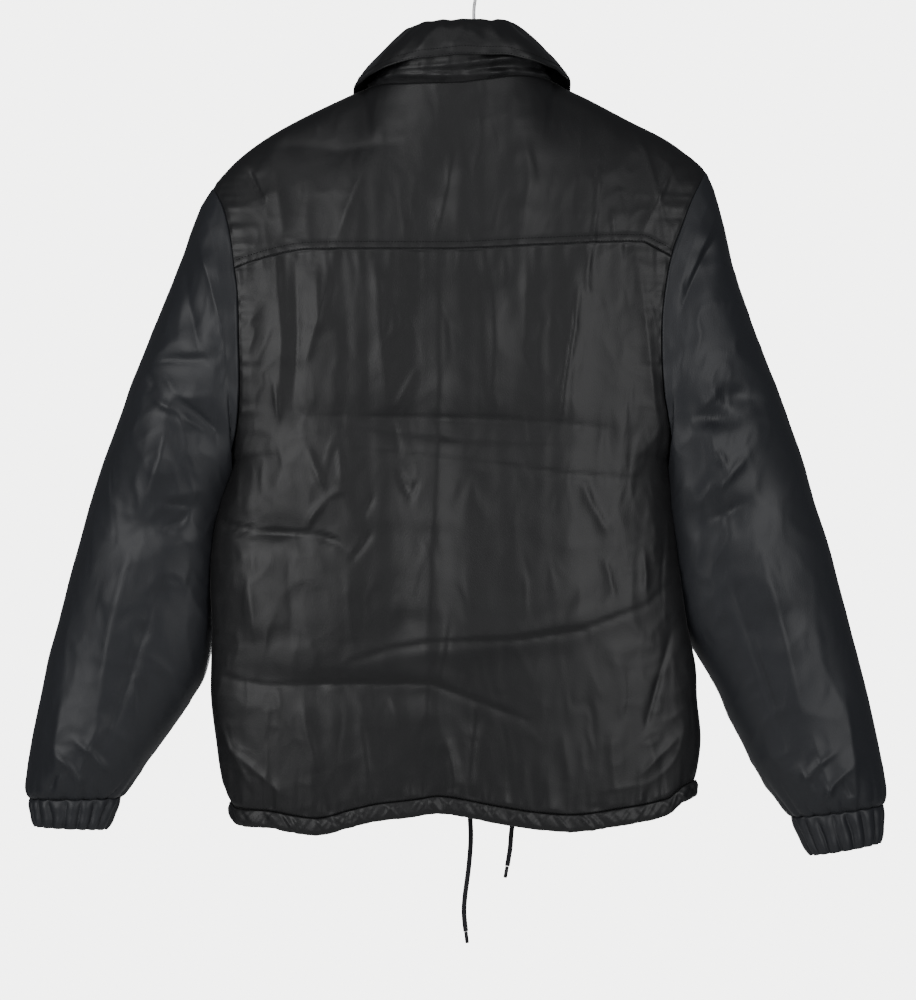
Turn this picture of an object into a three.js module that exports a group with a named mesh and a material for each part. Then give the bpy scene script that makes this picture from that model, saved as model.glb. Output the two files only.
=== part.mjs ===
// A padded coach jacket hanging by its own weight on a plain hanger with a wire hook.
// Millimetres. +Z is up, +Y is the wearer's back and +X the wearer's left.
// The origin is the point inside the hook that rests on whatever the hanger hangs from.
// Most tables give a drop: how far a place lies below the origin.
import * as THREE from 'three';
import { mergeVertices } from 'three/addons/utils/BufferGeometryUtils.js';

const WALL = 3; // shell, light padding and lining together
const SEAM_GAP = 0.3;

// Torso
const TIP = { left: { x: 240, drop: 209.5 }, right: { x: -239, drop: 194 } };
const UNDERARM_DROP = 472;
const ARMHOLE_DEPTH = 38; // half the armhole's depth from back to front
const BACK_DEPTH = [
  { drop: 100, depth: 52 },
  { drop: 450, depth: 55 },
  { drop: 640, depth: 54 },
  { drop: 820, depth: 46 },
];
const FRONT_DEPTH = [
  { drop: 100, depth: 48 },
  { drop: 450, depth: 50 },
  { drop: 640, depth: 50 },
  { drop: 820, depth: 42 },
];
const SHOULDER_ROUNDING = 260; // the drop over which the shoulder ridge rounds to full depth
const NECK_HALF_WIDTH = 90;
const BACK_NECK_DEPTH = 46;
const FRONT_NECK_DEPTH = 48;
const YOKE_ROW = 0.37; // the yoke seam's place on the armhole, 0 at the tip and 1 at the underarm

// Top edge of the back: shoulder ridges and back neck, from the wearer's right to left
const BACK_TOP = [
  { x: -239, drop: 194 },
  { x: -226, drop: 182 },
  { x: -200, drop: 163 },
  { x: -163, drop: 144 },
  { x: -125, drop: 124 },
  { x: -103, drop: 113.5 },
  { x: -89, drop: 106 },
  { x: -58, drop: 103.5 },
  { x: -15, drop: 109.5 },
  { x: 0, drop: 111.5 },
  { x: 54, drop: 111.5 },
  { x: 73, drop: 111 },
  { x: 90, drop: 113 },
  { x: 107, drop: 120 },
  { x: 157, drop: 144 },
  { x: 190, drop: 163 },
  { x: 215, drop: 182 },
  { x: 234, drop: 202 },
  { x: 240, drop: 209.5 },
];
const FRONT_NECK = [
  { x: -89, drop: 106 },
  { x: -80, drop: 122 },
  { x: -60, drop: 143 },
  { x: -30, drop: 159 },
  { x: 0, drop: 165 },
  { x: 30, drop: 160 },
  { x: 60, drop: 146 },
  { x: 80, drop: 126 },
  { x: 90, drop: 113 },
];
const YOKE_SEAM = [
  { x: -205, drop: 277.8 },
  { x: -190, drop: 270 },
  { x: -176, drop: 264 },
  { x: -90, drop: 267 },
  { x: 0, drop: 271.5 },
  { x: 150, drop: 272 },
  { x: 181, drop: 277.5 },
  { x: 218, drop: 288.6 },
];
const HEM_SEAM = [
  { x: -229, drop: 783 },
  { x: -215, drop: 789 },
  { x: -200, drop: 800 },
  { x: -147, drop: 810 },
  { x: -110, drop: 814.5 },
  { x: -73, drop: 812 },
  { x: -35, drop: 806 },
  { x: 0, drop: 799 },
  { x: 22, drop: 796.5 },
  { x: 45, drop: 800 },
  { x: 79, drop: 804 },
  { x: 105, drop: 810 },
  { x: 135, drop: 818 },
  { x: 160, drop: 816 },
  { x: 183, drop: 812 },
  { x: 217, drop: 810 },
  { x: 223, drop: 804 },
];
// How far out each armhole seam lies, from the shoulder tip (0) down to the underarm (1)
const ARMHOLE = [
  { down: 0, left: 240, right: 239 },
  { down: 0.06, left: 231, right: 230 },
  { down: 0.12, left: 225.5, right: 222 },
  { down: 0.2, left: 221, right: 213.5 },
  { down: 0.28, left: 218, right: 205 },
  { down: 0.4, left: 214, right: 198 },
  { down: 0.55, left: 213, right: 194 },
  { down: 0.75, left: 212.5, right: 196 },
  { down: 0.9, left: 216, right: 203 },
  { down: 1, left: 223, right: 207.5 },
];
const SIDE_SEAM = [
  { drop: 472, left: 223, right: 207.5 },
  { drop: 506, left: 233, right: 208.6 },
  { drop: 550, left: 241.5, right: 211 },
  { drop: 594, left: 243.5, right: 216 },
  { drop: 633, left: 241.5, right: 221.5 },
  { drop: 673, left: 242.5, right: 229.6 },
  { drop: 704, left: 242.5, right: 231 },
  { drop: 745, left: 237.7, right: 234.5 },
  { drop: 784, left: 231.8, right: 229 },
  { drop: 803, left: 223, right: 223 },
];

const HEM_END_DROP = { left: 804, right: 783 };
const HEM_END_X = { left: 223, right: -229 };
const YOKE_END_X = { left: 218, right: -205 };
const SIDE_POWER = 2.6; // how squarely the torso's section turns in at its sides
const COLLAR_SPREAD = { from: 20, to: 190 }; // the neck's depth dies out across the shoulders here

// Front opening: the left front laps over the right one
const OPENING_TOP_X = -4;
const OPENING_HEM_X = -30;
const LAP = 17; // each front passes the opening's middle line by this much
const LAP_FLAT = 30; // from the middle line the left front lies raised this far, then sinks to its own line
const LAP_END = 62;
const LAP_RISE = WALL + 0.7;
const HEM_LAP_RISE = 8.9;
const COLLAR_HALF_GAP = 3;

// Drawcord hem
const CASING = [
  { out: 0.6, down: 0.45, gather: 0.2 },
  { out: 2.2, down: 5, gather: 1 },
  { out: 2.2, down: 11.5, gather: 1 },
  { out: -1.6, down: 16.5, gather: 0.5 },
  { out: -5, down: 11.5, gather: 0 },
  { out: -5, down: 0.45, gather: 0 },
];
const CASING_GATHER = 1.1;
const GATHER_PITCH = 15;
const STEPS_PER_GATHER = 3;
const EYELET_X = { left: -9, right: -53.5 };
const EYELET_DOWN = 8.5;
const EYELET_OUT = 3.1;
const EYELET = { outer: 4.6, inner: 2.9, height: 1.2, sides: 12 };
const CORD_DIAMETER = 5;
const CORD_ROUTE = {
  left: [
    [-9, -56.5, -809.2],
    [-9.1, -60.3, -810],
    [-9.3, -63.8, -812.3],
    [-9.6, -66, -816],
    [-9.9, -66.6, -821],
    [-10.3, -66.2, -830],
    [-10.7, -65.4, -840],
    [-10.6, -64.8, -850],
    [-9.7, -64.3, -863],
    [-8.3, -63.8, -877],
    [-6.6, -63.4, -890],
    [-4.9, -63, -903],
    [-4, -62.7, -916],
    [-4.6, -62.5, -927],
    [-5.8, -62.4, -937],
  ],
  right: [
    [-53.5, -46.8, -817.7],
    [-53.5, -48.6, -817.9],
    [-53.4, -50.4, -818.5],
    [-53.1, -53.8, -820.8],
    [-52.6, -56, -824.4],
    [-52, -56.6, -829],
    [-51.2, -56.4, -834],
    [-50.5, -56, -840],
    [-50, -55.6, -846],
    [-49.6, -55.2, -852],
    [-49, -54.8, -857],
    [-48.2, -54.5, -862],
    [-47.4, -54.2, -867],
    [-46.5, -54, -872],
  ],
};
const AGLET = { radius: 1.9, length: 11.5 };

// Collar, by the turn round the neck: 0 at the back, 180 at the front opening
const COLLAR = [
  { turn: 0, foldOut: 0, foldY: 50, foldDrop: 51, edgeOut: 0, edgeY: 61, edgeDrop: 86.5 },
  { turn: 15, foldOut: 17, foldY: 49.5, foldDrop: 52, edgeOut: 26, edgeY: 60, edgeDrop: 87 },
  { turn: 30, foldOut: 32, foldY: 46, foldDrop: 53, edgeOut: 50, edgeY: 57, edgeDrop: 89.5 },
  { turn: 45, foldOut: 44, foldY: 39, foldDrop: 54.5, edgeOut: 72, edgeY: 50, edgeDrop: 94 },
  { turn: 60, foldOut: 53, foldY: 29, foldDrop: 57, edgeOut: 88, edgeY: 38, edgeDrop: 100 },
  { turn: 75, foldOut: 60, foldY: 16, foldDrop: 61, edgeOut: 98, edgeY: 19, edgeDrop: 105 },
  { turn: 90, foldOut: 65, foldY: 2, foldDrop: 66, edgeOut: 105, edgeY: 0, edgeDrop: 108.5 },
  { turn: 105, foldOut: 67, foldY: -12, foldDrop: 75, edgeOut: 105, edgeY: -20, edgeDrop: 121 },
  { turn: 120, foldOut: 66, foldY: -24, foldDrop: 88, edgeOut: 99, edgeY: -31, edgeDrop: 143 },
  { turn: 135, foldOut: 59, foldY: -36, foldDrop: 104, edgeOut: 88, edgeY: -38, edgeDrop: 165 },
  { turn: 150, foldOut: 44, foldY: -45, foldDrop: 122, edgeOut: 72, edgeY: -46, edgeDrop: 184 },
  { turn: 165, foldOut: 24, foldY: -51, foldDrop: 140, edgeOut: 54, edgeY: -52, edgeDrop: 202 },
  { turn: 180, foldOut: 5, foldY: -54, foldDrop: 151, edgeOut: 40, edgeY: -55, edgeDrop: 213 },
];
const COLLAR_TILT = 0.035; // the wearer's right side stands a little higher
const COLLAR_WALL = 2.6;
const FOLD_INSET = 3.4; // the stand's outer face lies this far inside the fold
const FOLD_ROOF = 5.8;
const LIP = 7; // how far the leaf reaches in over the stand
const STAND_SET_IN = 1.6; // the stand's foot lies just inside the neck seam
const STAND_BULGE = 3.5;
const LEAF_BULGE = 4;
const COLLAR_TURNS = [0, 15, 30, 45, 60, 75, 90, 105, 120, 135, 150, 165, 180];
const STAND_ROWS = 4;
const LEAF_ROWS = 4;

// Sleeves, ring by ring: the edge next to the body, the outer edge, half the depth, and the lean
// towards the front
const LEFT_SLEEVE = [
  { inX: 228.5, inDrop: 477, outX: 251, outDrop: 227, half: 39, lean: 0 },
  { inX: 230, inDrop: 484, outX: 260, outDrop: 250, half: 40, lean: 1 },
  { inX: 233, inDrop: 492, outX: 270, outDrop: 279, half: 41, lean: 2 },
  { inX: 237, inDrop: 502, outX: 286, outDrop: 318, half: 42, lean: 4 },
  { inX: 241, inDrop: 515, outX: 302, outDrop: 357, half: 43, lean: 6 },
  { inX: 245, inDrop: 534, outX: 318, outDrop: 396, half: 44, lean: 9 },
  { inX: 247, inDrop: 558, outX: 332, outDrop: 435, half: 45, lean: 12 },
  { inX: 248.2, inDrop: 586, outX: 346, outDrop: 473, half: 45, lean: 15 },
  { inX: 248, inDrop: 614, outX: 359, outDrop: 512, half: 45, lean: 18 },
  { inX: 247, inDrop: 642, outX: 370, outDrop: 551, half: 45, lean: 20 },
  { inX: 247.5, inDrop: 668, outX: 381, outDrop: 590, half: 45, lean: 22 },
  { inX: 251, inDrop: 689, outX: 391, outDrop: 629, half: 44, lean: 24 },
  { inX: 262, inDrop: 707, outX: 401.6, outDrop: 667, half: 43, lean: 25 },
  { inX: 275, inDrop: 727, outX: 410, outDrop: 706, half: 42, lean: 26 },
  { inX: 291, inDrop: 749, outX: 418, outDrop: 745, half: 41, lean: 27 },
  { inX: 307, inDrop: 771, outX: 423, outDrop: 776, half: 39, lean: 28 },
  { inX: 321, inDrop: 791, outX: 425, outDrop: 794, half: 34, lean: 28 },
  { inX: 331, inDrop: 803, outX: 421, outDrop: 804, half: 27, lean: 28 },
];
const RIGHT_SLEEVE = [
  { inX: 210.5, inDrop: 477, outX: 246.5, outDrop: 211, half: 39, lean: 0 },
  { inX: 212.2, inDrop: 484, outX: 252, outDrop: 230, half: 40, lean: 1 },
  { inX: 213, inDrop: 493, outX: 258, outDrop: 254, half: 41, lean: 2 },
  { inX: 213.5, inDrop: 505, outX: 266, outDrop: 288, half: 42, lean: 4 },
  { inX: 214, inDrop: 520, outX: 276, outDrop: 318, half: 43, lean: 6 },
  { inX: 215, inDrop: 540, outX: 290, outDrop: 357, half: 44, lean: 9 },
  { inX: 217.6, inDrop: 565, outX: 305.5, outDrop: 396, half: 45, lean: 12 },
  { inX: 220.7, inDrop: 592, outX: 320, outDrop: 435, half: 45, lean: 15 },
  { inX: 224.5, inDrop: 618, outX: 334, outDrop: 473, half: 45, lean: 18 },
  { inX: 230, inDrop: 643, outX: 345, outDrop: 512, half: 45, lean: 20 },
  { inX: 238, inDrop: 667, outX: 358, outDrop: 551, half: 45, lean: 22 },
  { inX: 247, inDrop: 687, outX: 368.6, outDrop: 590, half: 44, lean: 24 },
  { inX: 256, inDrop: 707, outX: 379, outDrop: 629, half: 43, lean: 25 },
  { inX: 264, inDrop: 727, outX: 389, outDrop: 667, half: 42, lean: 26 },
  { inX: 274, inDrop: 747, outX: 399, outDrop: 706, half: 41, lean: 27 },
  { inX: 285, inDrop: 769, outX: 408, outDrop: 746, half: 40, lean: 28 },
  { inX: 299, inDrop: 792, outX: 414.5, outDrop: 779, half: 38, lean: 28 },
  { inX: 313, inDrop: 811, outX: 417, outDrop: 799, half: 34, lean: 28 },
  { inX: 323, inDrop: 822, outX: 414, outDrop: 810, half: 27, lean: 28 },
];
const BOW_RINGS = 5; // the armhole's curve dies out over this many sleeve rings
const LEFT_CUFF = { inX: 344, inDrop: 834, outX: 416, outDrop: 831, half: 24, lean: 28 };
const RIGHT_CUFF = { inX: 341, inDrop: 859.5, outX: 411.5, outDrop: 847, half: 24, lean: 28 };
const CUFF_GATHERS = 18;
const CUFF_GATHER_DEPTH = 2;
const CUFF_SWELL = 2.2;
const CUFF_ROWS = 3;
const STEPS_PER_CUFF_GATHER = 3;

// Largest folds of the cloth: a soft ridge, or a trough where rise is below zero
const BACK_FOLDS = [
  { fromX: 23, fromDrop: 415, toX: 23, toDrop: 730, width: 26, rise: 3.5 },
  { fromX: 239, fromDrop: 533, toX: 135, toDrop: 548, width: 18, rise: -5 },
  { fromX: 250, fromDrop: 684, toX: 4, toDrop: 700, width: 18, rise: -3.5 },
  { fromX: 90, fromDrop: 672, toX: -216, toDrop: 596, width: 20, rise: 4 },
  { fromX: 150, fromDrop: 432, toX: -140, toDrop: 446, width: 18, rise: -3 },
  { fromX: -132, fromDrop: 175, toX: -99, toDrop: 440, width: 22, rise: 3 },
  { fromX: 88, fromDrop: 185, toX: 118, toDrop: 268, width: 20, rise: 3 },
];
const FRONT_FOLDS = [
  { fromX: 150, fromDrop: 200, toX: 70, toDrop: 420, width: 26, rise: 4 },
  { fromX: -150, fromDrop: 195, toX: -80, toDrop: 430, width: 26, rise: 4 },
  { fromX: 238, fromDrop: 560, toX: 90, toDrop: 590, width: 20, rise: -4 },
  { fromX: -215, fromDrop: 600, toX: -110, toDrop: 570, width: 20, rise: -4 },
  { fromX: 130, fromDrop: 520, toX: 120, toDrop: 740, width: 26, rise: 3.5 },
  { fromX: -140, fromDrop: 480, toX: -130, toDrop: 720, width: 26, rise: 3.5 },
];
const LEFT_SLEEVE_FOLDS = [
  { fromX: 322, fromDrop: 385, toX: 236, toDrop: 388, width: 16, rise: -4 },
  { fromX: 290, fromDrop: 420, toX: 232, toDrop: 450, width: 16, rise: -5 },
  { fromX: 330, fromDrop: 548, toX: 250, toDrop: 518, width: 18, rise: -4 },
  { fromX: 283, fromDrop: 443, toX: 302, toDrop: 512, width: 18, rise: 3 },
  { fromX: 400, fromDrop: 640, toX: 380, toDrop: 790, width: 22, rise: 3 },
];
const RIGHT_SLEEVE_FOLDS = [
  { fromX: -222, fromDrop: 435, toX: -278, toDrop: 418, width: 16, rise: -5 },
  { fromX: -232, fromDrop: 418, toX: -310, toDrop: 406, width: 16, rise: -4 },
  { fromX: -238, fromDrop: 534, toX: -290, toDrop: 512, width: 16, rise: -4 },
  { fromX: -252, fromDrop: 240, toX: -218, toDrop: 310, width: 18, rise: -4 },
  { fromX: -390, fromDrop: 650, toX: -372, toDrop: 800, width: 22, rise: 3 },
];

// Snaps down the front, by their drop
const SNAP_DROPS = [205, 325, 445, 565, 685, 765];
const SNAP = { radius: 7.5, height: 2.4, sides: 12, stand: 0.5 };

// Hanger
const BAR_RADIUS = 6;
const BAR_CLEARANCE = 0.95;
const BAR_HALF_LENGTH = 205;
const BAR_NECK = 95; // half the width of the low arch in the bar's middle
const BAR_ARCH = 10;
const HOOK_RADIUS = 1.6;
const HOOK_GAP = 0.3;
const HOOK_ROUTE = [
  [-13.6, 0, -90],
  [-13.6, 0, -70],
  [-13.6, 0, -50],
  [-14, 0, -34],
  [-16.2, 0, -24],
  [-17.6, 0, -14],
  [-14, 0, -4.6],
  [-7.4, 0, 0.3],
  [0, 0, 1.6],
  [8.6, 0, -0.6],
  [15.4, 0, -6.8],
  [18, 0, -15.4],
  [16.6, 0, -23],
];

const CLOTH = { color: 0x141416, roughness: 0.5, metalness: 0 };
const CLOTH_TINTED = { color: 0x15181b, roughness: 0.5, metalness: 0 };
const CORD_COLOUR = { color: 0x101014, roughness: 0.85, metalness: 0 };
const METAL = { color: 0x1c1c1e, roughness: 0.35, metalness: 0.9 };
const STEEL = { color: 0xa8aaad, roughness: 0.3, metalness: 1 };
const PLASTIC = { color: 0x1a1a1a, roughness: 0.4, metalness: 0 };

const mix = THREE.MathUtils.lerp;
const smooth = THREE.MathUtils.smoothstep;
const group = new THREE.Group();

// A smooth curve through two named columns of a table
function curve(rows, from, to) {
  const at = rows.map((row) => row[from]);
  const value = rows.map((row) => row[to]);
  const last = at.length - 1;
  const slope = at.map((_, i) => {
    const low = Math.max(i - 1, 0);
    const high = Math.min(i + 1, last);
    return (value[high] - value[low]) / (at[high] - at[low]);
  });
  return (where) => {
    const x = THREE.MathUtils.clamp(where, at[0], at[last]);
    let i = 0;
    while (i < last - 1 && x > at[i + 1]) i += 1;
    const span = at[i + 1] - at[i];
    const t = (x - at[i]) / span;
    const a = (1 + 2 * t) * (1 - t) ** 2;
    const b = t * (1 - t) ** 2 * span;
    const c = t * t * (3 - 2 * t);
    const d = t * t * (t - 1) * span;
    return a * value[i] + b * slope[i] + c * value[i + 1] + d * slope[i + 1];
  };
}

const backTop = curve(BACK_TOP, 'x', 'drop');
const frontNeck = curve(FRONT_NECK, 'x', 'drop');
const yokeSeam = curve(YOKE_SEAM, 'x', 'drop');
const hemSeam = curve(HEM_SEAM, 'x', 'drop');
const backDepth = curve(BACK_DEPTH, 'drop', 'depth');
const frontDepth = curve(FRONT_DEPTH, 'drop', 'depth');
const armholeOut = { left: curve(ARMHOLE, 'down', 'left'), right: curve(ARMHOLE, 'down', 'right') };
const sideOut = { left: curve(SIDE_SEAM, 'drop', 'left'), right: curve(SIDE_SEAM, 'drop', 'right') };
const SIGN = { left: 1, right: -1 };

function frontTop(x) {
  return Math.abs(x) < NECK_HALF_WIDTH - 1 ? frontNeck(x) : backTop(x);
}

// The torso's edge at one side: down the armhole (down 0 to 1), then down the side seam (1 to 2)
function edgePoint(side, face, down) {
  if (down <= 1) {
    const share = (1 - Math.cos(down * Math.PI)) / 2;
    const drop = mix(TIP[side].drop, UNDERARM_DROP, share);
    const y = face * ARMHOLE_DEPTH * Math.sin(down * Math.PI);
    return new THREE.Vector3(SIGN[side] * armholeOut[side](share), y, -drop);
  }
  const drop = mix(UNDERARM_DROP, HEM_END_DROP[side], down - 1);
  return new THREE.Vector3(SIGN[side] * sideOut[side](drop), 0, -drop);
}

function edgeShare(side, from, to, down) {
  const start = edgePoint(side, 1, from).z;
  return (edgePoint(side, 1, down).z - start) / (edgePoint(side, 1, to).z - start);
}

// How much the folds of a table lift the cloth at a place
function foldRelief(folds, x, drop) {
  let lift = 0;
  for (const fold of folds) {
    const dx = fold.toX - fold.fromX;
    const dd = fold.toDrop - fold.fromDrop;
    const t = ((x - fold.fromX) * dx + (drop - fold.fromDrop) * dd) / (dx * dx + dd * dd);
    const along = THREE.MathUtils.clamp(t, 0, 1);
    const away = Math.hypot(x - fold.fromX - along * dx, drop - fold.fromDrop - along * dd);
    const fade = 0.35 + 0.65 * Math.sin(along * Math.PI);
    lift += fold.rise * fade * Math.exp(-((away / fold.width) ** 2));
  }
  return lift;
}

// A point of the torso: face 1 is the back and -1 the front, across runs from -1 (wearer's right)
// to 1 (left), and down from 0 (top edge) through 1 (underarm) to 2 (hem seam)
function torsoPoint(face, across, down) {
  const left = edgePoint('left', face, down);
  const right = edgePoint('right', face, down);
  const share = (1 + across) / 2;
  const x = mix(right.x, left.x, share);
  const topX = mix(TIP.right.x, TIP.left.x, share);
  const top = face > 0 ? backTop(topX) : frontTop(topX);
  const hem = hemSeam(mix(HEM_END_X.right, HEM_END_X.left, share));
  const yoke = yokeSeam(mix(YOKE_END_X.right, YOKE_END_X.left, share));
  const shareBetween = (from, to) => mix(
    edgeShare('right', from, to, down),
    edgeShare('left', from, to, down),
    share,
  );
  let drop;
  if (face < 0) drop = mix(top, hem, shareBetween(0, 2));
  else if (down < YOKE_ROW) drop = mix(top, yoke, shareBetween(0, YOKE_ROW));
  else drop = mix(yoke, hem, shareBetween(YOKE_ROW, 2));
  const neckDepth = face > 0 ? BACK_NECK_DEPTH : FRONT_NECK_DEPTH;
  const below = Math.min((drop - top) / SHOULDER_ROUNDING, 1);
  const neckEdge = Math.sqrt(Math.max(1 - (topX / NECK_HALF_WIDTH) ** 2, 0));
  const neckSpread = 1 - smooth(Math.abs(topX), COLLAR_SPREAD.from, COLLAR_SPREAD.to);
  const neckShare = mix(neckEdge, neckSpread, smooth(below, 0, 0.3));
  const round = Math.max(1 - (1 - below) ** 2, 0) ** (0.5 + 0.5 * neckShare);
  const full = face > 0 ? backDepth(drop) : frontDepth(drop);
  const middle = mix(neckDepth * neckShare, full, round);
  const loop = Math.abs(mix(right.y, left.y, share));
  const tipZ = -mix(TIP.right.drop, TIP.left.drop, share);
  const armShare = (tipZ - mix(right.z, left.z, share)) / (tipZ + UNDERARM_DROP);
  const inward = armShare < 0.5 ? loop : ARMHOLE_DEPTH * (1 - smooth(armShare, 0.5, 1.7));
  const edge = mix(inward, loop, Math.abs(across) ** 8);
  const crown = 1 - Math.abs(across) ** SIDE_POWER;
  const sharpness = mix(1, 0.5, smooth(armShare, 0.6, 1.6));
  const folds = face > 0 ? BACK_FOLDS : FRONT_FOLDS;
  const calm = (1 - across ** 6) * smooth(down, 0.05, 0.3) * (1 - smooth(down, 1.85, 2));
  const lift = calm * foldRelief(folds, x, drop);
  return new THREE.Vector3(x, face * (edge + (middle - edge) * crown ** sharpness + lift), -drop);
}

// The normal of a surface by small steps, outwards where turn is right
function normalOf(surface, a, b, limitsA, limitsB, turn) {
  const step = 1e-3;
  const at = (p, q) => surface(
    THREE.MathUtils.clamp(p, limitsA[0], limitsA[1]),
    THREE.MathUtils.clamp(q, limitsB[0], limitsB[1]),
  );
  const alongA = at(a + step, b).sub(at(a - step, b));
  const alongB = at(a, b + step).sub(at(a, b - step));
  return alongA.cross(alongB).multiplyScalar(turn).normalize();
}

// The shared normal along an armhole seam, so that the sleeve and the panels meet squarely
function armholeNormal(side, face, down) {
  const angle = down * Math.PI;
  const flat = 0.3; // the loop is about three times as tall as it is deep
  const up = flat * Math.max(Math.cos(angle), 0);
  const under = flat * Math.max(-Math.cos(angle), 0);
  return new THREE.Vector3(SIGN[side] * 0.75 * up, face * Math.sin(angle), 0.66 * up - under).normalize();
}

function torsoNormal(face, across, down) {
  const smoothAcross = (angle, q) => torsoPoint(face, Math.sin(angle * Math.PI / 2), q);
  const angle = Math.asin(across) * 2 / Math.PI;
  const own = normalOf(smoothAcross, angle, down, [-1, 1], [0, 2], face);
  const side = across > 0 ? 'left' : 'right';
  const nearness = 1 - smooth(1 - Math.abs(across), 0, 0.08);
  const seam = down > 1.001 ? new THREE.Vector3(SIGN[side], 0, 0) : armholeNormal(side, face, down);
  own.lerp(seam, nearness);
  if (down > 1.999) own.setZ(0);
  return own.normalize();
}

// Adds one closed, outward-facing body to the group
function addBody(name, finish, points, triangles) {
  const geometry = new THREE.BufferGeometry();
  geometry.setAttribute('position', new THREE.Float32BufferAttribute(points.flatMap((p) => p.toArray()), 3));
  let volume = 0;
  for (const [a, b, c] of triangles) {
    volume += points[a].dot(new THREE.Vector3().crossVectors(points[b], points[c]));
  }
  const facing = volume < 0 ? triangles.map(([a, b, c]) => [a, c, b]) : triangles;
  geometry.setIndex(facing.flat());
  addMesh(name, finish, geometry);
}

function addMesh(name, finish, geometry) {
  const mesh = new THREE.Mesh(geometry, new THREE.MeshStandardMaterial(finish));
  mesh.name = name;
  group.add(mesh);
  return mesh;
}

// Moves a grid's border inwards by half a seam gap: outer and inner points go together
function trim(outer, inner, closedAcross, gap = SEAM_GAP / 2) {
  const rows = outer.length;
  const columns = outer[0].length;
  const moves = [];
  const pull = (r, c, nextR, nextC) => {
    const move = outer[nextR][nextC].clone().sub(outer[r][c]).setLength(gap);
    moves.push([r, c, move]);
  };
  for (let c = 0; c < columns; c += 1) {
    pull(0, c, 1, c);
    pull(rows - 1, c, rows - 2, c);
  }
  for (let r = 0; r < rows && !closedAcross; r += 1) {
    pull(r, 0, r, 1);
    pull(r, columns - 1, r, columns - 2);
  }
  for (const [r, c, move] of moves) {
    outer[r][c].add(move);
    inner[r][c].add(move);
  }
}

// Joins an outer and an inner grid of points into one wall; a tube closes on itself across
function wallFrom(name, finish, outer, inner, closedAcross) {
  const rows = outer.length;
  const columns = outer[0].length;
  const points = [...outer.flat(), ...inner.flat()];
  const half = rows * columns;
  const triangles = [];
  const quad = (a, b, c, d) => triangles.push([a, b, c], [a, c, d]);
  const spans = closedAcross ? columns : columns - 1;
  for (let r = 0; r < rows - 1; r += 1) {
    for (let c = 0; c < spans; c += 1) {
      const next = (c + 1) % columns;
      const [a, b] = [r * columns + c, r * columns + next];
      const [d, e] = [a + columns, b + columns];
      quad(a, b, e, d);
      quad(half + a, half + d, half + e, half + b);
    }
  }
  const rim = (a, b) => quad(b, a, half + a, half + b);
  for (let c = 0; c < spans; c += 1) {
    const next = (c + 1) % columns;
    rim(c, next);
    rim((rows - 1) * columns + next, (rows - 1) * columns + c);
  }
  for (let r = 0; r < rows - 1 && !closedAcross; r += 1) {
    rim((r + 1) * columns, r * columns);
    rim(r * columns + columns - 1, (r + 1) * columns + columns - 1);
  }
  addBody(name, finish, points, triangles);
}

// A body lofted through closed sections of equal length, with flat ends
function loft(name, finish, sections) {
  const count = sections[0].length;
  const points = sections.flat();
  const triangles = [];
  for (let s = 0; s < sections.length - 1; s += 1) {
    for (let i = 0; i < count; i += 1) {
      const next = (i + 1) % count;
      const [a, b] = [s * count + i, s * count + next];
      triangles.push([a, b, b + count], [a, b + count, a + count]);
    }
  }
  const last = (sections.length - 1) * count;
  for (let i = 1; i < count - 1; i += 1) {
    triangles.push([0, i + 1, i], [last, last + i, last + i + 1]);
  }
  addBody(name, finish, points, triangles);
}

// Columns across a torso panel: the neck ones match the collar's turns
const acrossOfX = (x) => (x - (TIP.left.x + TIP.right.x) / 2) / ((TIP.left.x - TIP.right.x) / 2);
const neckX = (turn) => NECK_HALF_WIDTH * Math.sin(THREE.MathUtils.degToRad(turn));
const SHOULDER_COLUMNS = [0.48, 0.63, 0.78, 0.9, 0.975, 1];
const NECK_TURNS = [15, 30, 45, 60, 75, 90];
const halfColumns = (sign) => [
  ...NECK_TURNS.map((turn) => acrossOfX(sign * neckX(turn))),
  ...SHOULDER_COLUMNS.map((column) => sign * column),
];
const COLUMNS = [...halfColumns(-1).reverse(), acrossOfX(0), ...halfColumns(1)];
const ARMHOLE_ROWS = [0, 0.045, 0.09, 0.145, 0.21, 0.285, YOKE_ROW];
const LOWER_ARMHOLE_ROWS = [YOKE_ROW, 0.46, 0.55, 0.64, 0.72, 0.8, 0.87, 0.94, 1];
const SIDE_ROWS = [1.06, 1.16, 1.28, 1.4, 1.52, 1.64, 1.76, 1.88, 2];

function backGrid(name, rows) {
  const outer = rows.map((down) => COLUMNS.map((across) => torsoPoint(1, across, down)));
  const inner = rows.map((down, r) => COLUMNS.map((across, c) => (
    torsoNormal(1, across, down).multiplyScalar(-WALL).add(outer[r][c])
  )));
  const hem = rows[rows.length - 1] === 2 ? hemLine(outer, inner) : null;
  trim(outer, inner, false);
  wallFrom(name, CLOTH, outer, inner, false);
  return hem;
}

// The line that the hem casing follows, as a panel's last row leaves it
function hemLine(outer, inner) {
  const edge = outer[outer.length - 1];
  const under = inner[inner.length - 1];
  return edge.map((point, c) => ({
    point: point.clone(),
    out: point.clone().sub(under[c]).setZ(0).normalize(),
  }));
}

// The fronts: how far a column moves across as the opening slants towards the hem
const openingX = (down) => mix(OPENING_TOP_X, OPENING_HEM_X, down / 2);
function frontAcross(column, down) {
  const shift = (openingX(down) - OPENING_TOP_X) / TIP.left.x;
  return column + shift * (1 - smooth(Math.abs(column), 0.3, 0.8));
}

function frontColumns(side) {
  const sign = SIGN[side];
  const inner = halfColumns(sign);
  const middle = acrossOfX(OPENING_TOP_X + sign * COLLAR_HALF_GAP);
  const edge = acrossOfX(OPENING_TOP_X - sign * LAP);
  return [edge, middle, ...inner];
}

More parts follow.
